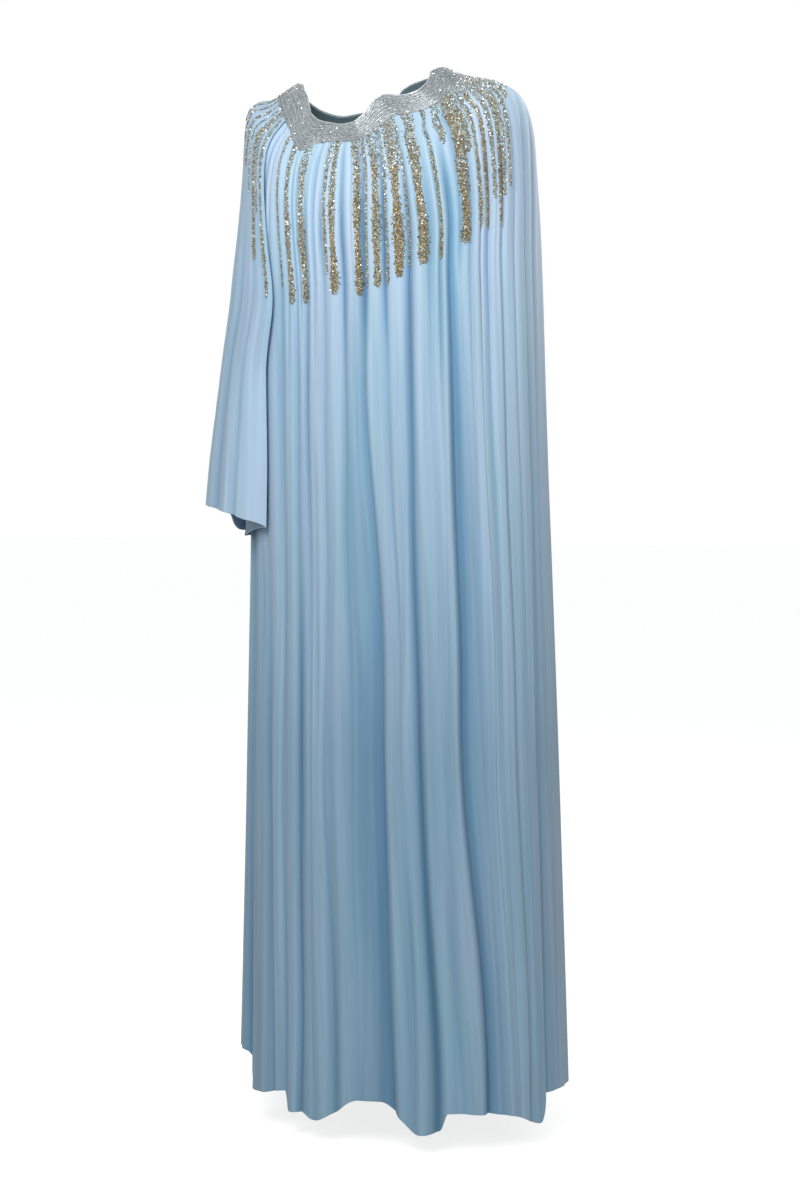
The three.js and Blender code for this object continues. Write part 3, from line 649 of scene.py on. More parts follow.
# Fine crinkles that run down the cloth: cells to the metre across and down, the spread of the
# noise that is used, the tones that it gives, and the bump's strength and depth.
STREAK_SCALE = (95.0, 1.9, 1.0)
STREAK_SPREAD, STREAK_TONES = (0.28, 0.72), (0.84, 1.10)
CRINKLE_STRENGTH, CRINKLE_DEPTH = 0.55, 0.0016
# Slow drifts of the dye: cells to the metre, and the tints they drift between.
MOTTLE_SCALE, MOTTLE_SPREAD = (9.0, 2.2, 1.0), (0.3, 0.7)
MOTTLE_TEAL, MOTTLE_LILAC = (0.90, 0.99, 0.97), (1.055, 0.995, 1.01)
# How much a dark bead is rougher than a light one.
DARK_BEAD_ROUGHER = 0.1
# The yoke's ground: stitches to the metre, and how dark it is between them.
YOKE_STITCHES, YOKE_STITCH_SHADE = 420.0, 0.55
YOKE_STITCH_STRENGTH, YOKE_STITCH_DEPTH = 0.6, 0.001


def new_material(name):
    """A material, its node tree and its shader."""
    material = bpy.data.materials.new(name)
    material.use_nodes = True
    return material, material.node_tree, material.node_tree.nodes["Principled BSDF"]


def weave_group():
    """A fine plain weave with a crepe grain: a height for bumps and a shade for the roughness."""
    name = "silk_weave"
    if name in bpy.data.node_groups:
        return bpy.data.node_groups[name]
    tree = bpy.data.node_groups.new(name, "ShaderNodeTree")
    add_sockets(tree, (
        ("Vector", "INPUT", "Vector"), ("Threads", "INPUT", "Float"), ("Grain", "INPUT", "Float"),
        ("Height", "OUTPUT", "Float"), ("Shade", "OUTPUT", "Float"),
    ))
    given = tree.nodes.new("NodeGroupInput").outputs
    place = scaled_vector(tree, given["Vector"], given["Threads"])
    warp, weft = (
        add_node(tree, "ShaderNodeTexWave", {"Vector": place, "Scale": 1.0}, bands_direction=way)
        for way in ("X", "Y")
    )
    threads = add_node(
        tree, "ShaderNodeMath", {0: warp.outputs["Fac"], 1: weft.outputs["Fac"]}, operation="MAXIMUM")
    grain_inputs = {"Vector": given["Vector"], "Scale": given["Grain"], "Detail": 3.0}
    grain = add_node(tree, "ShaderNodeTexNoise", grain_inputs).outputs["Fac"]
    height_inputs = {0: threads.outputs[0], 1: THREAD_HEIGHT, 2: grain}
    height = add_node(tree, "ShaderNodeMath", height_inputs, operation="MULTIPLY_ADD").outputs[0]
    add_node(tree, "NodeGroupOutput", {"Height": height, "Shade": grain})
    return tree


def silk_material(name, top_colour, foot_colour, roughness=0.46, folded=True):
    """Pale silk: a soft sheen, an uneven colour down its length that on the dress darkens towards the hem,
    partly its own colour and partly painted shade, painted shade in the folds' creases, and the weave along
    its own UV map.
    """
    material, tree, principled = new_material(name)
    uv = cloth_uv(tree)
    weave_inputs = {"Vector": uv, "Threads": THREADS, "Grain": GRAINS}
    weave = add_node(tree, "ShaderNodeGroup", weave_inputs, node_tree=weave_group()).outputs
    place = tree.nodes.new("ShaderNodeTexCoord").outputs["Object"]
    height = add_node(tree, "ShaderNodeSeparateXYZ", {0: place}).outputs["Z"]
    # The colour down the cloth: on the dress it darkens towards the hem, partly the silk's own colour and
    # partly painted shade of light falling off downward.
    dye_and_shade = mixed_colour(tree, top_colour, foot_colour, map_range(tree, height, DYE_AND_SHADE_FROM, DYE_AND_SHADE_BY))
    # Painted shade in the folds' creases and painted light on their ridges, from the fold attribute.
    painted_fold_shade = mixed_colour(tree, CREASE_PAINTED_SHADE, RIDGE_PAINTED_LIGHT, attribute(tree, "painted_fold_light") if folded else 1.0)
    drift = map_range(tree, cloth_noise(tree, uv, MOTTLE_SCALE, 2.0), *MOTTLE_SPREAD)
    mottle = mixed_colour(tree, MOTTLE_TEAL, MOTTLE_LILAC, drift)
    streaks = cloth_noise(tree, uv, STREAK_SCALE, 5.0, 0.62)
    colour = multiplied_vector(tree, multiplied_vector(tree, dye_and_shade, painted_fold_shade), mottle)
    colour = scaled_vector(tree, colour, map_range(tree, streaks, *STREAK_SPREAD, *STREAK_TONES))
    crinkle = bumped(tree, streaks, CRINKLE_STRENGTH, CRINKLE_DEPTH)
    set_inputs(tree, principled, {
        "Base Color": colour,
        "Normal": bumped(tree, weave["Height"], WEAVE_STRENGTH, WEAVE_DEPTH, Normal=crinkle),
        "Roughness": map_range(tree, weave["Shade"], 0.0, 1.0, roughness - 0.06, roughness + 0.08),
        "Sheen Weight": 0.25,
        "Sheen Roughness": 0.4,
        "Specular IOR Level": 0.35,
    })
    return material


def bead_material(name, dark, light, metallic, roughness):
    """Beads or sequins: each one has its own tone between two colours."""
    material, tree, principled = new_material(name)
    tone = attribute(tree, "tone")
    set_inputs(tree, principled, {
        "Base Color": mixed_colour(tree, dark, light, tone),
        "Roughness": map_range(tree, tone, 0.0, 1.0, roughness + DARK_BEAD_ROUGHER, roughness),
        "Metallic": metallic,
    })
    return material


def yoke_cloth_material(ground):
    """The silver-grey ground under the yoke's beads, with a stitched grain."""
    material, tree, principled = new_material("yoke_ground")
    cells_inputs = {"Vector": cloth_uv(tree), "Scale": YOKE_STITCHES}
    cells = add_node(tree, "ShaderNodeTexVoronoi", cells_inputs).outputs["Distance"]
    shaded = [YOKE_STITCH_SHADE * channel for channel in ground]
    set_inputs(tree, principled, {
        "Base Color": mixed_colour(tree, shaded, ground, cells),
        "Normal": bumped(tree, cells, YOKE_STITCH_STRENGTH, YOKE_STITCH_DEPTH, invert=True),
        "Roughness": 0.45,
        "Metallic": 0.3,
    })
    return material


# ---------------------------------------------------------------- beads by geometry nodes

BEAD_SIDES = 6
# The width of a sequin's top against its foot.
SEQUIN_TOP = 0.55


def bead_mesh(tree, shape, width, length):
    """One bead: a bugle along its own Z, a sequin with a smaller top, or a faceted crystal."""
    radius = multiplied(tree, width, 0.5)
    if shape == "bugle":
        inputs = {"Vertices": BEAD_SIDES, "Radius": radius, "Depth": length}
        return add_node(tree, "GeometryNodeMeshCylinder", inputs).outputs["Mesh"]
    if shape == "sequin":
        top = multiplied(tree, radius, SEQUIN_TOP)
        inputs = {"Vertices": BEAD_SIDES, "Radius Top": top, "Radius Bottom": radius, "Depth": length}
        return add_node(tree, "GeometryNodeMeshCone", inputs).outputs["Mesh"]
    inputs = {"Subdivisions": 1, "Radius": radius}
    return add_node(tree, "GeometryNodeMeshIcoSphere", inputs).outputs["Mesh"]


def named_attribute(tree, name, kind):
    node = add_node(tree, "GeometryNodeInputNamedAttribute", {"Name": name}, data_type=kind)
    return node.outputs["Attribute"]


def euler_rotation(tree, angles):
    return add_node(tree, "FunctionNodeEulerToRotation", {"Euler": angles}).outputs["Rotation"]


def bead_tree(name, shape, material):
    """Puts one bead on each vertex, turned and sized by the vertex's own attributes."""
    tree = bpy.data.node_groups.new(name, "GeometryNodeTree")
    add_sockets(tree, (
        ("Geometry", "INPUT", "Geometry"), ("Bead Width", "INPUT", "Float"),
        ("Bead Length", "INPUT", "Float"), ("Tilt", "INPUT", "Float"), ("Seed", "INPUT", "Int"),
        ("Geometry", "OUTPUT", "Geometry"),
    ))
    given = tree.nodes.new("NodeGroupInput").outputs
    tilt_inputs = {"Min": multiplied(tree, given["Tilt"], -1.0), "Max": given["Tilt"], "Seed": given["Seed"]}
    tilt = add_node(tree, "FunctionNodeRandomValue", tilt_inputs, data_type="FLOAT_VECTOR")
    turn_inputs = {
        "Rotation": euler_rotation(tree, named_attribute(tree, "turn", "FLOAT_VECTOR")),
        "Rotate By": euler_rotation(tree, tilt.outputs["Value"]),
    }
    turned = add_node(tree, "FunctionNodeRotateRotation", turn_inputs, rotation_space="LOCAL")
    instances = add_node(tree, "GeometryNodeInstanceOnPoints", {
        "Points": given["Geometry"],
        "Instance": bead_mesh(tree, shape, given["Bead Width"], given["Bead Length"]),
        "Rotation": turned.outputs["Rotation"],
        "Scale": named_attribute(tree, "size", "FLOAT"),
    })
    realized = add_node(tree, "GeometryNodeRealizeInstances", {"Geometry": instances.outputs["Instances"]})
    finish_inputs = {"Geometry": realized.outputs["Geometry"], "Material": material}
    finish = add_node(tree, "GeometryNodeSetMaterial", finish_inputs)
    add_node(tree, "NodeGroupOutput", {"Geometry": finish.outputs["Geometry"]})
    return tree


def eulers(x_axis, z_axis):
    """XYZ angles that turn a bead's own X and Z onto the given directions."""
    z_axis = normalised(z_axis)
    x_axis = normalised(x_axis - z_axis * (x_axis * z_axis).sum(-1, keepdims=True))
    y_axis = np.cross(z_axis, x_axis)
    pitch = np.arcsin(np.clip(-x_axis[:, 2], -1, 1))
    roll = np.arctan2(y_axis[:, 2], z_axis[:, 2])
    yaw = np.arctan2(x_axis[:, 1], x_axis[:, 0])
    return np.stack([roll, pitch, yaw], -1)


def beads(name, shape, points, turns, sizes, tones, material, width, length, tilt, seed):
    """Sews one bead at each point and returns them all as one plain mesh."""
    carrier = bpy.data.meshes.new(name + "_places")
    carrier.vertices.add(len(points))
    carrier.vertices.foreach_set("co", (points * MM).astype(np.float32).ravel())
    turn = carrier.attributes.new("turn", "FLOAT_VECTOR", "POINT")
    turn.data.foreach_set("vector", turns.astype(np.float32).ravel())
    for label, values in (("size", sizes), ("tone", tones)):
        layer = carrier.attributes.new(label, "FLOAT", "POINT")
        layer.data.foreach_set("value", values.astype(np.float32))
    helper = linked(name + "_helper", carrier)
    tree = bead_tree(name + "_beads", shape, material)
    modifier = helper.modifiers.new("beads", "NODES")
    modifier.node_group = tree
    values = {"Bead Width": width, "Bead Length": length, "Tilt": tilt, "Seed": seed}
    for item in tree.interface.items_tree:
        if item.item_type == "SOCKET" and item.in_out == "INPUT" and item.name in values:
            modifier[item.identifier] = values[item.name]
    evaluated = helper.evaluated_get(bpy.context.evaluated_depsgraph_get())
    mesh = bpy.data.meshes.new_from_object(evaluated)
    helper.modifiers.clear()
    bpy.data.objects.remove(helper)
    mesh.name = name
    mesh.polygons.foreach_set("use_smooth", np.zeros(len(mesh.polygons), bool))
    return linked(name, mesh)


# ---------------------------------------------------------------- a user's sizes and colours


class KaftanSizes(bpy.types.PropertyGroup):
    """Sizes of the cloth's finish."""

    cloth_thickness: FloatProperty(
        name="Cloth thickness", description="Thickness of the silk wall", default=0.0007,
        min=0.0002, max=0.002, unit="LENGTH", precision=4)
    hem_roll: FloatProperty(
        name="Hem roll", description="Thickness of the narrow rolled hem", default=0.0022,
        min=0.0005, max=0.005, unit="LENGTH", precision=4)
    crease_depth: FloatProperty(
        name="Crease depth", description="Scales the single creases placed by hand",
        default=0.55, min=0.0, max=2.0, subtype="FACTOR")
    ripple_depth: FloatProperty(
        name="Ripple depth", description="Height of the broad uneven waves", default=0.0008,
        min=0.0, max=0.002, unit="LENGTH", precision=4)
    columns_per_fold: IntProperty(
        name="Columns per fold", description="Mesh columns from one deep fold to the next",
        default=18, min=6, max=24)
    cloth_rows: IntProperty(
        name="Cloth rows", description="Mesh rows from the yoke to the hem",
        default=150, min=60, max=260)


class KaftanBeads(bpy.types.PropertyGroup):
    """Sizes of the beads."""

    bugle_width: FloatProperty(
        name="Bugle width", description="Width of the yoke's silver beads", default=0.0018,
        min=0.001, max=0.004, unit="LENGTH", precision=4)
    bugle_length: FloatProperty(
        name="Bugle length", description="Length of the yoke's silver beads", default=0.0027,
        min=0.001, max=0.008, unit="LENGTH", precision=4)
    sequin_width: FloatProperty(
        name="Sequin width", description="Width of the stripes' sequins", default=0.0023,
        min=0.001, max=0.005, unit="LENGTH", precision=4)
    sequin_height: FloatProperty(
        name="Sequin height", description="Height of the stripes' sequins", default=0.0011,
        min=0.0003, max=0.003, unit="LENGTH", precision=4)
    crystal_width: FloatProperty(
        name="Crystal width", description="Width of the loose crystals", default=0.0030,
        min=0.001, max=0.006, unit="LENGTH", precision=4)
    yoke_rows: IntProperty(
        name="Yoke rows", description="Rows of beads between the yoke's two edges",
        default=16, min=4, max=24)


def colour_property(name, description, default):
    return FloatVectorProperty(
        name=name, description=description, default=default, size=3, min=0.0, max=1.0,
        subtype="COLOR")


class KaftanColours(bpy.types.PropertyGroup):
    """Colours of the silk and the beads."""

    silk_top: colour_property("Silk at the top", "Silk near the yoke", (0.425, 0.605, 0.78))
    # The silk's hem colour is darker than its top colour: partly its own colour and partly painted shade.
    silk_foot_dye_and_shade: colour_property("Silk at the hem", "Silk near the hem", (0.243, 0.39, 0.525))
    sleeve_top: colour_property("Sleeve at the top", "Sleeve near the yoke", (0.375, 0.55, 0.735))
    sleeve_foot: colour_property("Sleeve at the hem", "Sleeve near its hem", (0.435, 0.59, 0.755))
    yoke_ground: colour_property("Yoke cloth", "Cloth under the yoke's beads", (0.42, 0.47, 0.50))
    yoke_inside: colour_property("Yoke facing", "Plain inside of the yoke", (0.16, 0.25, 0.29))
    silver_dark: colour_property("Silver, dark", "Darkest silver bead", (0.34, 0.37, 0.39))
    silver_light: colour_property("Silver, light", "Lightest silver bead", (0.61, 0.65, 0.67))
    gold_dark: colour_property("Gold, dark", "Darkest gold sequin", (0.17, 0.13, 0.06))
    gold_light: colour_property("Gold, light", "Lightest gold sequin", (0.64, 0.52, 0.29))
    olive_dark: colour_property("Olive, dark", "Darkest olive silver sequin", (0.22, 0.24, 0.19))
    olive_light: colour_property("Olive, light", "Lightest olive silver sequin", (0.68, 0.73, 0.70))


def finish_piece(piece, slot, *nodes):
    """Rides the piece on the dress's one body and hides the solids it stands for; slot is not used."""
    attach(piece, BODY)
    if nodes:
        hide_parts(*nodes)


# ---------------------------------------------------------------- pieces and their operators

# The rolled hem: its rows, and its height in mm.
HEM_ROWS, HEM_ROLL_HEIGHT = 4, 3.0
# How much closer together the rows lie at the yoke.
ROW_CROWDING = 1.3
# How far the columns draw together at the creases and half-way between them, in folds.
CREASE_CROWDING, GATHER_CROWDING = 0.05, 0.03
# The level at which the cloth leaves the yoke, near enough to find where each column starts.
YOKE_LEVEL = 30.0
# Depths in mm at which a crease gets the full painted crease shade, near the yoke and at the knee, the
# levels they change between, and how much less of it the cape panel gets.
GATHER_SHADE_DEPTH, FOLD_SHADE_DEPTH, SHADE_POWER = 9.0, 13.0, 1.25
SHADE_FROM, SHADE_BY = 200, 900
CAPE_SHADE_CALM = 0.45


def wall_inside(outer, sizes):
    """The inner face of a cloth wall, thickened to a small roll along its last rows."""
    thickness = np.full(outer.shape[0], sizes.cloth_thickness / MM)
    thickness[-HEM_ROWS:] = sizes.hem_roll / MM
    thickness[-1] *= 0.5
    return outer + grid_normals(outer) * -thickness[:, None, None]


def levels_down(top, hem, count):
    """Levels of the rows between a top and a hem edge, with the hem's rolled rows last."""
    shares = np.linspace(0, 1, count - HEM_ROWS + 1)[:, None] ** ROW_CROWDING
    levels = mix(top, hem - HEM_ROLL_HEIGHT, shares)
    roll = [hem - HEM_ROLL_HEIGHT * (1 - (i + 1) / (HEM_ROWS - 1)) for i in range(HEM_ROWS - 1)]
    return np.concatenate([levels, np.array(roll)])


def cloth_panel(name, first_seam, last_seam, silk, sizes):
    """Gathered cloth between two seams, from the yoke's outer edge to the hem."""
    count = int(round((last_seam - first_seam) * sizes.columns_per_fold)) + 1
    folds = np.linspace(first_seam, last_seam, count)
    crowding = CREASE_CROWDING * np.sin(2 * np.pi * folds) + GATHER_CROWDING * np.sin(4 * np.pi * folds)
    folds = folds - crowding
    top = YOKE_EDGES["outer"](wrapped(column_angle(folds, YOKE_LEVEL)))
    hem = HEM["level"](fold_angle(folds, HEM_LEVEL))
    levels = levels_down(top, hem, sizes.cloth_rows)
    folds = np.broadcast_to(folds, levels.shape)
    angles = column_angle(folds, levels)
    depth = cloth_depth(angles, levels)
    outer = form_point(angles, levels) - outward(form_point, angles, levels) * depth[..., None]
    # Painted shade: the deeper the cloth lies in a crease, the darker its colour, less so on the cape panel.
    deepest = mix(GATHER_SHADE_DEPTH, FOLD_SHADE_DEPTH, smoothstep(levels, SHADE_FROM, SHADE_BY))
    painted_shade_share = 1 - CAPE_SHADE_CALM * on_cape(folds)
    light = 1 - painted_shade_share * np.clip(depth / deepest, 0, 1) ** SHADE_POWER
    return shell(name, outer, wall_inside(outer, sizes), (silk,), light=light)


FRONT_NODES = ("front_right_panel", "front_left_panel")
CAPE_NODES = ("left_cape_panel",)
BACK_NODES = ("back_left_panel", "back_right_panel")


class KAFTAN_OT_hang_cloth(bpy.types.Operator):
    """Hangs the front, the back and the cape panel from the yoke"""

    bl_idname = "kaftan.hang_cloth"
    bl_label = "Hang the gathered cloth"

    def execute(self, context):
        scene = context.scene
        colours = scene.kaftan_colours
        silk = silk_material("silk", colours.silk_top, colours.silk_foot_dye_and_shade)
        panels = (
            ("front_cloth", FRONT_NODES, SIDE_SEAM, CAPE_FRONT_SEAM, (0.95, 1.46), 1.05),
            ("cape_cloth", CAPE_NODES, CAPE_FRONT_SEAM, CAPE_BACK_SEAM, (0.40, 1.46), 0.42),
            ("back_cloth", BACK_NODES, CAPE_BACK_SEAM, SIDE_SEAM_ROUND, (0.85, 1.46), 0.95),
        )
        for name, nodes, first, last, flat, area in panels:
            piece = cloth_panel(name, first, last, silk, scene.kaftan_sizes)
            finish_piece(piece, "silk_cloth", *nodes)
        return {"FINISHED"}


# The sleeve's mesh: columns of each inner lap, of each turned edge and of the outside, and rows.
LAP_COLUMNS, TURN_COLUMNS, OUTSIDE_COLUMNS, SLEEVE_ROWS = 26, 5, 130, 110
# The painted fold light of the inner laps, which gives them a little of the painted crease shade, and the
# depth in mm that gets all of it.
SLEEVE_LINING_LIGHT, SLEEVE_SHADE_DEPTH = 0.8, 9.0
# The waves of the sleeve's hem: how many there are, and how far they rise and fall in mm.
SLEEVE_HEM_WAVES, SLEEVE_HEM_WAVE = 17, 4.0
# The angles that the sleeve's two edges and its two seams start from at the yoke.
SLEEVE_BACK_TOP, SLEEVE_FRONT_TOP = -142.0, -38.0
BACK_SEAM_TOP, FRONT_SEAM_TOP = -138.0, -42.0


def sleeve_lap(start, end, level):
    """The inner layer beside a seam, which lies close to the body."""
    share = np.linspace(0, 1, LAP_COLUMNS)[None, :]
    angle = mix(SLEEVE[start](level), SLEEVE[end](level), share)
    away = outward(form_point, angle, level)
    return form_point(angle, level) + away * SLEEVE["clearance"](level)[..., None]


def sleeve_turn(fold, side, swing, level):
    """The rounded edge where the cloth turns from a lap to the outside."""
    angle = SLEEVE[fold](level)
    away = outward(form_point, angle, level)
    along = normalised(np.cross(np.array([0.0, 0.0, 1.0]), away)) * side
    rise = SLEEVE["clearance"](level) + SLEEVE_EDGE_ROOM / 2 * (1 - np.cos(swing))
    reach = SLEEVE_EDGE_ROOM / 2 * np.sin(swing)
    return form_point(angle, level) + away * rise[..., None] + along * reach[..., None]


def sleeve_section(levels):
    """Outer points of the sleeve, column by column: inside back, over the outside, inside front."""
    swing = np.linspace(0, np.pi, TURN_COLUMNS + 2)[1:-1][None, :]
    share = np.linspace(0, 1, OUTSIDE_COLUMNS)[None, :]
    parts = (
        sleeve_lap("back_seam", "back_fold", levels["inside_back"]),
        sleeve_turn("back_fold", -1, swing, levels["back_turn"]),
        sleeve_outside(share, levels["outside"]),
        sleeve_turn("front_fold", 1, np.pi - swing, levels["front_turn"]),
        sleeve_lap("front_fold", "front_seam", levels["inside_front"]),
    )
    return np.concatenate(parts, axis=1)


def sleeve_hem(shares):
    """Level of the sleeve's outer hem, which rises between its edges and hangs lower behind."""
    behind = 1 - smoothstep(shares, SLEEVE_BACK_BY, SLEEVE_BACK_FROM)
    behind = behind * smoothstep(shares, 0, SLEEVE_LAP_SHARE)
    level = SLEEVE_HEM_FOLDS - SLEEVE_HEM_RISE * np.sin(np.pi * shares) ** SLEEVE_BULGE
    level = level + SLEEVE_HEM_BACK_DROP * behind
    return level + SLEEVE_HEM_WAVE * ripple(shares * SLEEVE_HEM_WAVES, shares * 0 + 0.5, 31)


def sleeve_levels(angle, hem):
    top = YOKE_EDGES["outer"](wrapped(angle))
    return levels_down(np.broadcast_to(top, np.shape(hem)), hem, SLEEVE_ROWS)


class KAFTAN_OT_set_sleeve(bpy.types.Operator):
    """Sets the wide sleeve in its slanting seams on the wearer's right"""

    bl_idname = "kaftan.set_sleeve"
    bl_label = "Set the sleeve"

    def execute(self, context):
        scene = context.scene
        colours, sizes = scene.kaftan_colours, scene.kaftan_sizes
        silk = silk_material("sleeve_silk", colours.sleeve_top, colours.sleeve_foot, 0.42)
        shares = np.linspace(0, 1, OUTSIDE_COLUMNS)
        lap_shares = np.linspace(0, 1, LAP_COLUMNS)
        lap_hem = mix(SLEEVE_HEM_INNER, SLEEVE_HEM_FOLDS, smoothstep(lap_shares, 0.5, 1))
        turn_hem = np.full(TURN_COLUMNS, SLEEVE_HEM_FOLDS)
        back_top, front_top = SLEEVE_BACK_TOP, SLEEVE_FRONT_TOP
        section = {
            "inside_back": sleeve_levels(mix(BACK_SEAM_TOP, back_top, lap_shares), lap_hem),
            "back_turn": sleeve_levels(np.full(TURN_COLUMNS, back_top), turn_hem),
            "outside": sleeve_levels(mix(back_top, front_top, shares), sleeve_hem(shares)),
            "front_turn": sleeve_levels(np.full(TURN_COLUMNS, front_top), turn_hem),
            "inside_front": sleeve_levels(mix(front_top, FRONT_SEAM_TOP, lap_shares), lap_hem[::-1]),
        }
        outer = sleeve_section(section)
        depth = sleeve_depth(np.broadcast_to(shares, section["outside"].shape), section["outside"])
        # Painted shade: a little on the inner laps, and more in the creases of the outside.
        light = np.full(outer.shape[:2], SLEEVE_LINING_LIGHT)
        first = LAP_COLUMNS + TURN_COLUMNS
        light[:, first : first + OUTSIDE_COLUMNS] = 1 - np.clip(depth / SLEEVE_SHADE_DEPTH, 0, 1)
        piece = shell("sleeve_cloth", outer, wall_inside(outer, sizes), (silk,), light=light)
        finish_piece(piece, "silk_cloth", "right_sleeve")
        return {"FINISHED"}


# The yoke's mesh, and in mm its crown, how far its face lies under the beads, and its back.
YOKE_COLUMNS, YOKE_MESH_ROWS = 360, 17
YOKE_CROWN, YOKE_FACE_DEPTH, YOKE_BACK_DEPTH = 0.5, 0.7, 1.9
YOKE_EDGE_SHARE = 0.12


class KAFTAN_OT_shape_yoke(bpy.types.Operator):
    """Shapes the stiff scalloped yoke and its plain facing"""

    bl_idname = "kaftan.shape_yoke"
    bl_label = "Shape the yoke"

    def execute(self, context):
        scene = context.scene
        colours = scene.kaftan_colours
        facing = silk_material("yoke_facing", colours.yoke_inside, colours.yoke_inside, 0.6, False)
        angles = np.linspace(-180, 180, YOKE_COLUMNS + 1)[:-1]
        shares = np.linspace(0, 1, YOKE_MESH_ROWS)[:, None]
        surface = yoke_point(angles, np.broadcast_to(shares, (YOKE_MESH_ROWS, YOKE_COLUMNS)))
        away = grid_normals(surface)
        crown = YOKE_CROWN * smoothstep(np.minimum(shares, 1 - shares), 0, YOKE_EDGE_SHARE)
        outer = surface + away * (crown - YOKE_FACE_DEPTH)[..., None]
        inner = surface - away * YOKE_BACK_DEPTH
        ground = yoke_cloth_material(colours.yoke_ground)
        piece = shell("yoke_band", outer, inner, (ground, facing), ring=True)
        finish_piece(piece, "beaded_yoke", "neck_yoke")
        return {"FINISHED"}


# Metallic and roughness of the silver beads and of the sequins, and before them the crystals'
# two colours.
SILVER_FINISH, SEQUIN_FINISH = (0.35, 0.40), (0.5, 0.34)
CRYSTAL_FINISH = ((0.75, 0.8, 0.84), (1, 1, 1), 0.7, 0.06)
# How far the beads turn at random, in radians, and how far they lie above the cloth, in mm.
BUGLE_TILT, SEQUIN_TILT, CRYSTAL_TILT = 0.16, 0.45, 3.1
BUGLE_LIFT, SEQUIN_LIFT, CRYSTAL_LIFT = 0.3, 0.6, 1.3
# The yoke's beads: their spacing against their length, the two rows along its edges, and how far
# the rows' tones and the beads' own tones differ. Then how many loose crystals lie on them.
BEAD_SPACING, EDGE_ROWS = 1.08, (0.004, 0.996)
ROW_TONE, BEAD_TONE = 0.28, 0.2
YOKE_CRYSTALS = 420
YOKE_SEED, STRIPE_SEED = 21, 8


def along_contour(share, pitch, rng):
    """Even places along one line round the yoke: their points, directions and outward sides."""
    angles = np.linspace(-180, 180, 4 * YOKE_COLUMNS + 1)
    points = yoke_point(angles, np.full(angles.shape, share))
    length = np.concatenate([[0], np.cumsum(np.linalg.norm(np.diff(points, axis=0), axis=1))])
    count = int(length[-1] / pitch)
    start = rng.uniform(0, 1)
    places = (np.arange(count) + start) / count * length[-1]
    place = np.interp(places % length[-1], length, angles)
    shares = np.full(count, share)
    along = yoke_point(place + 0.6, shares) - yoke_point(place - 0.6, shares)
    return yoke_point(place, shares), normalised(along), yoke_away(place, shares)


def yoke_away(angles, shares):
    return outward(yoke_point, angles, shares, 0.5, 0.05)


class KAFTAN_OT_bead_yoke(bpy.types.Operator):
    """Sews rows of silver bugle beads and loose crystals over the yoke"""

    bl_idname = "kaftan.bead_yoke"
    bl_label = "Bead the yoke"

    def execute(self, context):
        scene = context.scene
        colours, sizes = scene.kaftan_colours, scene.kaftan_beads
        rng = np.random.default_rng(YOKE_SEED)
        silver = bead_material("silver_beads", colours.silver_dark, colours.silver_light, *SILVER_FINISH)
        crystal = bead_material("crystals", *CRYSTAL_FINISH)
        pitch = sizes.bugle_length / MM * BEAD_SPACING
        rows = [(row + 0.5) / sizes.yoke_rows for row in range(sizes.yoke_rows)]
        parts = [along_contour(share, pitch, rng) for share in (*rows, *EDGE_ROWS)]
        here, along, away = (np.concatenate(part) for part in zip(*parts))
        row_tones = [0.5 + ROW_TONE * (-1) ** row for row in range(len(parts))]
        tones = np.concatenate([np.full(len(part[0]), tone) for part, tone in zip(parts, row_tones)])
        tones = np.clip(tones + rng.normal(0, BEAD_TONE, len(here)), 0, 1)
        piece = beads(
            "yoke_beads", "bugle", here + away * BUGLE_LIFT, eulers(away, along),
            rng.uniform(0.85, 1.12, len(here)), tones, silver,
            sizes.bugle_width, sizes.bugle_length, BUGLE_TILT, 4)
        finish_piece(piece, "beaded_yoke")
        count = YOKE_CRYSTALS
        angles, shares = rng.uniform(-180, 180, count), rng.uniform(0.05, 0.97, count)
        here, away = yoke_point(angles, shares), yoke_away(angles, shares)
        piece = beads(
            "yoke_crystals", "crystal", here + away * CRYSTAL_LIFT,
            eulers(rng.normal(size=(count, 3)), away),
            rng.uniform(0.6, 1.0, count), rng.uniform(0, 1, count), crystal,
            sizes.crystal_width, sizes.crystal_width, CRYSTAL_TILT, 5)
        finish_piece(piece, "beaded_yoke")
        return {"FINISHED"}


# Stripes of beadwork on the body: angle they hang at, level they end at, width in mm, and how
# much of them is gold rather than silver and olive.
BODY_STRIPES = (
    (-22.5, 276, 8, 0.3), (-16.2, 308, 9, 0.35), (-9, 303, 9, 0.4), (2.4, 250, 5, 0.1), (5, 292, 12, 0.6),
    (13.6, 298, 10, 0.65), (16.8, 284, 6, 0.2), (20.3, 288, 11, 0.6), (23.9, 288, 5, 0.1),
    (27.7, 278, 15, 0.85), (30.8, 264, 6, 0.1), (36, 266, 14, 0.8), (42.3, 265, 9, 0.35),
    (47, 96, 9, 0.4), (51.8, 252, 16, 0.95), (55, 128, 10, 0.5), (58, 238, 8, 0.25),
    (61.5, 240, 10, 0.7), (64.8, 205, 7, 0.05), (68.2, 240, 9, 0.45), (70.8, 206, 8, 0.05),
    (74, 198, 6, 0.1), (78, 84, 8, 0.6), (84, 66, 8, 0.3),
)
STRIPE_LEVEL = 200.0
# The same on the sleeve, by their place from its back fold to its front fold.
SLEEVE_STRIPES = (
    (0.985, 302, 5.5, 0.25), (0.955, 165, 3.5, 0.1), (0.928, 242, 8, 0.5), (0.88, 150, 3.5, 0.1),
    (0.835, 118, 5, 0.45), (0.77, 92, 5, 0.5), (0.70, 74, 4.5, 0.4),
)


# The sequins' spacing in mm, how far each is off its place, how many stray out of the stripe and
# how far, how many are missing, and the length of a stripe's ragged foot.
SEQUIN_PITCH, SEQUIN_JITTER = 1.7, (0.8, 0.7)
STRAY_CHANCE, STRAY_REACH = 0.18, 1.45
KEPT_CHANCE, RAGGED_FOOT = 0.97, 14
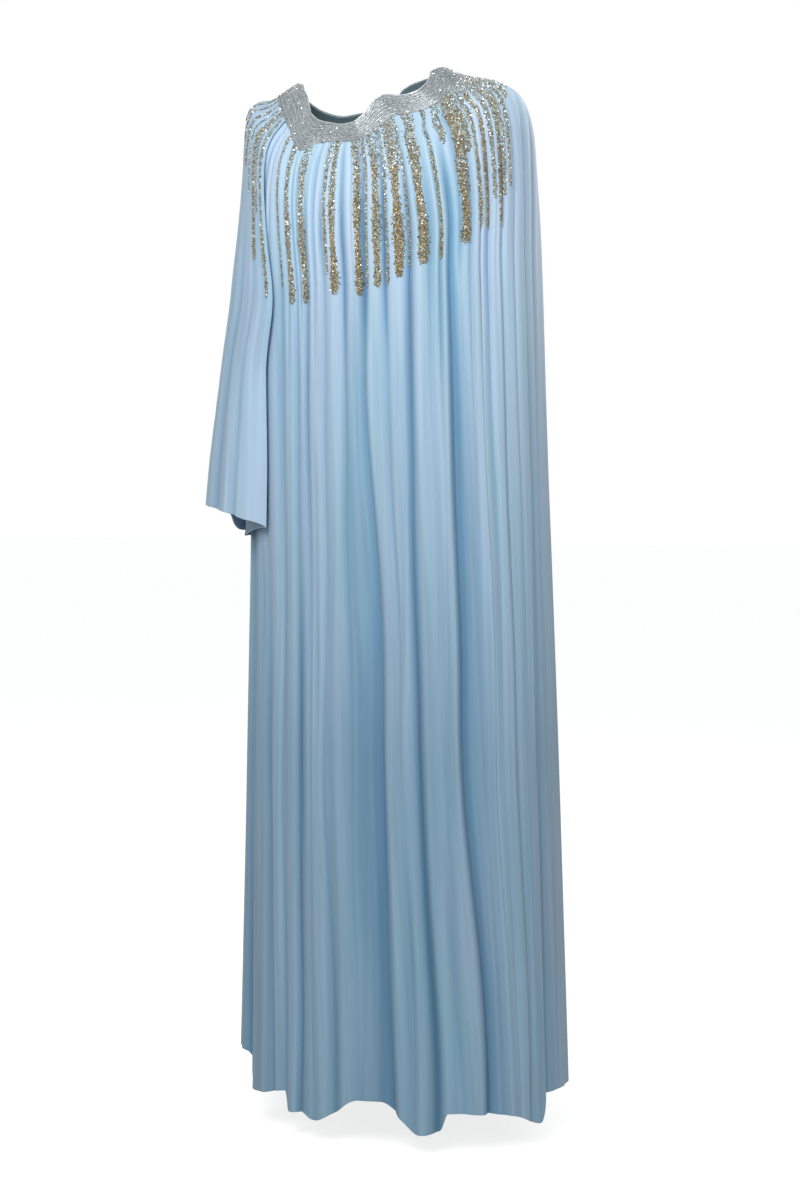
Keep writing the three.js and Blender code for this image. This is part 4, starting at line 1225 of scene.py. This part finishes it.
# How much more silver a stripe is at its top, and more gold at its foot, than in the table.
SILVER_TOP, GOLD_FOOT, TONE_SPREAD = 0.26, 0.24, 0.28
# The chance that a sequin is a crystal, at a stripe's top and at its foot.
TOP_CRYSTALS, FOOT_CRYSTALS = 0.16, 0.03


def stripe_places(surface, across, end, width, gold, start, rng):
    """Jittered places of one stripe's sequins on a surface of (across, level), in mm."""
    rows = max(int((end - start) / SEQUIN_PITCH), 1)
    columns = max(int(round(width / SEQUIN_PITCH)), 2)
    row_levels = np.arange(rows) * SEQUIN_PITCH + start
    level, offset = np.meshgrid(row_levels, (np.arange(columns) + 0.5) / columns - 0.5)
    level, offset = level.ravel(), offset.ravel()
    level = level + rng.uniform(-SEQUIN_JITTER[0], SEQUIN_JITTER[0], len(level))
    stray = rng.uniform(0, 1, len(level)) < STRAY_CHANCE
    offset = np.where(stray, offset * STRAY_REACH, offset)
    ragged = 1 - smoothstep(level, end - RAGGED_FOOT, end + 2) * np.abs(offset) * 2
    keep = (rng.uniform(0, 1, len(level)) < KEPT_CHANCE) & (rng.uniform(0.2, 1, len(level)) < ragged)
    level, offset = level[keep], offset[keep]
    near = surface(np.full(len(level), across + 0.02), level)
    far = surface(np.full(len(level), across - 0.02), level)
    per_mm = 0.04 / np.maximum(np.linalg.norm(near - far, axis=1), 1e-6)
    swell = 0.75 + 0.2 * np.sin(level / 23.0 + across * 5) + 0.3 * (1 - smoothstep(level, 30, 120))
    aside = rng.uniform(-SEQUIN_JITTER[1], SEQUIN_JITTER[1], len(level))
    place = across + (offset * width * swell + aside) * per_mm
    here = surface(place, level)
    away = outward(surface, place, level, 0.02, 1.5)
    low_down = GOLD_FOOT * smoothstep(level, 110, 270) - SILVER_TOP * (1 - smoothstep(level, 30, 110))
    tone = np.clip(rng.normal(gold, TONE_SPREAD, len(level)) + low_down, 0, 1)
    return here, away, tone, level


class KAFTAN_OT_bead_stripes(bpy.types.Operator):
    """Sews the uneven beaded stripes that run down from the yoke"""

    bl_idname = "kaftan.bead_stripes"
    bl_label = "Bead the stripes"

    def execute(self, context):
        scene = context.scene
        colours, sizes = scene.kaftan_colours, scene.kaftan_beads
        rng = np.random.default_rng(STRIPE_SEED)
        parts = []
        for angle, end, width, gold in BODY_STRIPES:
            across = float(fold_number(angle, STRIPE_LEVEL))
            top = float(YOKE_EDGES["outer"](wrapped(column_angle(across, YOKE_LEVEL))))
            parts.append(stripe_places(hanging_cloth, across, end, width, gold, top + 1, rng))
        for across, end, width, gold in SLEEVE_STRIPES:
            top = float(YOKE_EDGES["outer"](mix(SLEEVE_BACK_TOP, SLEEVE_FRONT_TOP, across)))
            parts.append(stripe_places(sleeve_outside, across, end, width, gold, top + 1, rng))
        here, away, tone, level = (np.concatenate(part) for part in zip(*parts))
        turns = eulers(rng.normal(size=(len(here), 3)), away)
        width = rng.uniform(0.75, 1.15, len(here))
        crystal_chance = mix(TOP_CRYSTALS, FOOT_CRYSTALS, smoothstep(level, 40, 220))
        is_crystal = rng.uniform(0, 1, len(here)) < crystal_chance
        is_silver = ~is_crystal & (rng.uniform(0, 1, len(here)) > tone * 1.05)
        is_gold = ~is_crystal & ~is_silver
        gold = bead_material("gold_sequins", colours.gold_dark, colours.gold_light, *SEQUIN_FINISH)
        silver = bead_material(
            "olive_silver_sequins", colours.olive_dark, colours.olive_light, *SEQUIN_FINISH)
        crystal = bead_material("stripe_crystals", *CRYSTAL_FINISH)
        sequin_size = (sizes.sequin_width, sizes.sequin_height, SEQUIN_TILT)
        crystal_size = (sizes.crystal_width * 0.9, sizes.sequin_height, CRYSTAL_TILT)
        groups = (
            ("stripe_gold", "sequin", is_gold, gold, sequin_size),
            ("stripe_silver", "sequin", is_silver, silver, sequin_size),
            ("stripe_crystals", "crystal", is_crystal, crystal, crystal_size),
        )
        for name, shape, chosen, material, size in groups:
            piece = beads(
                name, shape, (here + away * SEQUIN_LIFT)[chosen], turns[chosen], width[chosen],
                rng.uniform(0, 1, chosen.sum()), material, *size, 9)
            finish_piece(piece, "beaded_yoke")
        return {"FINISHED"}


def studio_world():
    """An even pale studio, seen white by the camera and dimmer by the cloth."""
    world = bpy.data.worlds.new("studio")
    world.use_nodes = True
    tree = world.node_tree
    light = tree.nodes["Background"]
    set_inputs(tree, light, {"Color": SKY_COLOUR, "Strength": SKY_STRENGTH})
    seen = add_node(tree, "ShaderNodeBackground", {"Color": WHITE})
    by_camera = tree.nodes.new("ShaderNodeLightPath").outputs["Is Camera Ray"]
    sky_inputs = {0: by_camera, 1: light.outputs[0], 2: seen.outputs[0]}
    sky = add_node(tree, "ShaderNodeMixShader", sky_inputs)
    set_inputs(tree, tree.nodes["World Output"], {"Surface": sky.outputs[0]})
    return world


def direction(azimuth, elevation):
    """The direction of a place round the dress, azimuth 0 in front and 90 on the wearer's left."""
    azimuth, elevation = math.radians(azimuth), math.radians(elevation)
    level = math.cos(elevation)
    return Vector((math.sin(azimuth) * level, -math.cos(azimuth) * level, math.sin(elevation)))


def soft_box(name, place, power, size, colour):
    data = bpy.data.lights.new(name, "AREA")
    data.energy, data.size, data.color = power, size, colour
    lamp = bpy.data.objects.new(name, data)
    lamp.location = place
    aim = LAMP_TARGET - Vector(place)
    lamp.rotation_euler = aim.to_track_quat("-Z", "Y").to_euler()
    bpy.context.scene.collection.objects.link(lamp)


def floor_material():
    """A pale floor: white to the camera, and dim enough not to light the dress from below."""
    material, tree, principled = new_material("pale_floor")
    by_camera = tree.nodes.new("ShaderNodeLightPath").outputs["Is Camera Ray"]
    set_inputs(tree, principled, {
        "Base Color": (0.4, 0.4, 0.4, 1),
        "Roughness": 0.9,
        "Emission Color": WHITE,
        "Emission Strength": multiplied(tree, by_camera, FLOOR_GLOW),
    })
    return material


class KAFTAN_OT_set_stage(bpy.types.Operator):
    """Lays the pale floor and sets the soft lights and the camera"""

    bl_idname = "kaftan.set_stage"
    bl_label = "Set the stage"

    def execute(self, context):
        scene = context.scene
        height, reach = CAD_BOX[0].z - FLOOR_GAP, FLOOR_REACH
        mesh = bpy.data.meshes.new("floor")
        corners = [(x * reach, y * reach, height) for x, y in ((-1, -1), (1, -1), (1, 1), (-1, 1))]
        mesh.from_pydata(corners, [], [(0, 1, 2, 3)])
        floor = linked("floor", mesh, floor_material())
        scene.world = studio_world()
        for box in SOFT_BOXES:
            soft_box(*box)
        camera_data = bpy.data.cameras.new("camera")
        camera_data.sensor_width = SENSOR
        camera_data.lens = FOCAL_PIXELS * SENSOR / max(FRAME_WIDTH, FRAME_HEIGHT)
        camera_data.clip_start, camera_data.clip_end = 0.05, 100.0
        camera = bpy.data.objects.new("camera", camera_data)
        back = direction(CAMERA_AZIMUTH, CAMERA_ELEVATION)
        camera.location = CAMERA_TARGET + back * CAMERA_DISTANCE
        camera.rotation_euler = (-back).to_track_quat("-Z", "Y").to_euler()
        scene.collection.objects.link(camera)
        scene.camera = camera
        scene.view_settings.view_transform = "Standard"
        return {"FINISHED"}


class KAFTAN_PT_panel(bpy.types.Panel):
    """Lists the kaftan's pieces and sizes"""

    bl_idname = "KAFTAN_PT_panel"
    bl_label = "Kaftan"
    bl_space_type = "VIEW_3D"
    bl_region_type = "UI"
    bl_category = "Kaftan"

    def draw(self, context):
        for operator in OPERATORS:
            self.layout.operator(operator.bl_idname)
        scene = context.scene
        for group in (scene.kaftan_sizes, scene.kaftan_beads, scene.kaftan_colours):
            for name in group.__annotations__:
                self.layout.prop(group, name)


OPERATORS = (
    KAFTAN_OT_set_stage,
    KAFTAN_OT_hang_cloth,
    KAFTAN_OT_set_sleeve,
    KAFTAN_OT_shape_yoke,
    KAFTAN_OT_bead_yoke,
    KAFTAN_OT_bead_stripes,
)
CLASSES = (KaftanSizes, KaftanBeads, KaftanColours, *OPERATORS, KAFTAN_PT_panel)


def register():
    for item in CLASSES:
        bpy.utils.register_class(item)
    bpy.types.Scene.kaftan_sizes = PointerProperty(type=KaftanSizes)
    bpy.types.Scene.kaftan_beads = PointerProperty(type=KaftanBeads)
    bpy.types.Scene.kaftan_colours = PointerProperty(type=KaftanColours)


def unregister():
    del bpy.types.Scene.kaftan_sizes
    del bpy.types.Scene.kaftan_beads
    del bpy.types.Scene.kaftan_colours
    for item in reversed(CLASSES):
        bpy.utils.unregister_class(item)


def main():
    register()
    bpy.ops.kaftan.set_stage()
    bpy.ops.kaftan.hang_cloth()
    bpy.ops.kaftan.set_sleeve()
    bpy.ops.kaftan.shape_yoke()
    bpy.ops.kaftan.bead_yoke()
    bpy.ops.kaftan.bead_stripes()


if __name__ == "__main__":
    main()
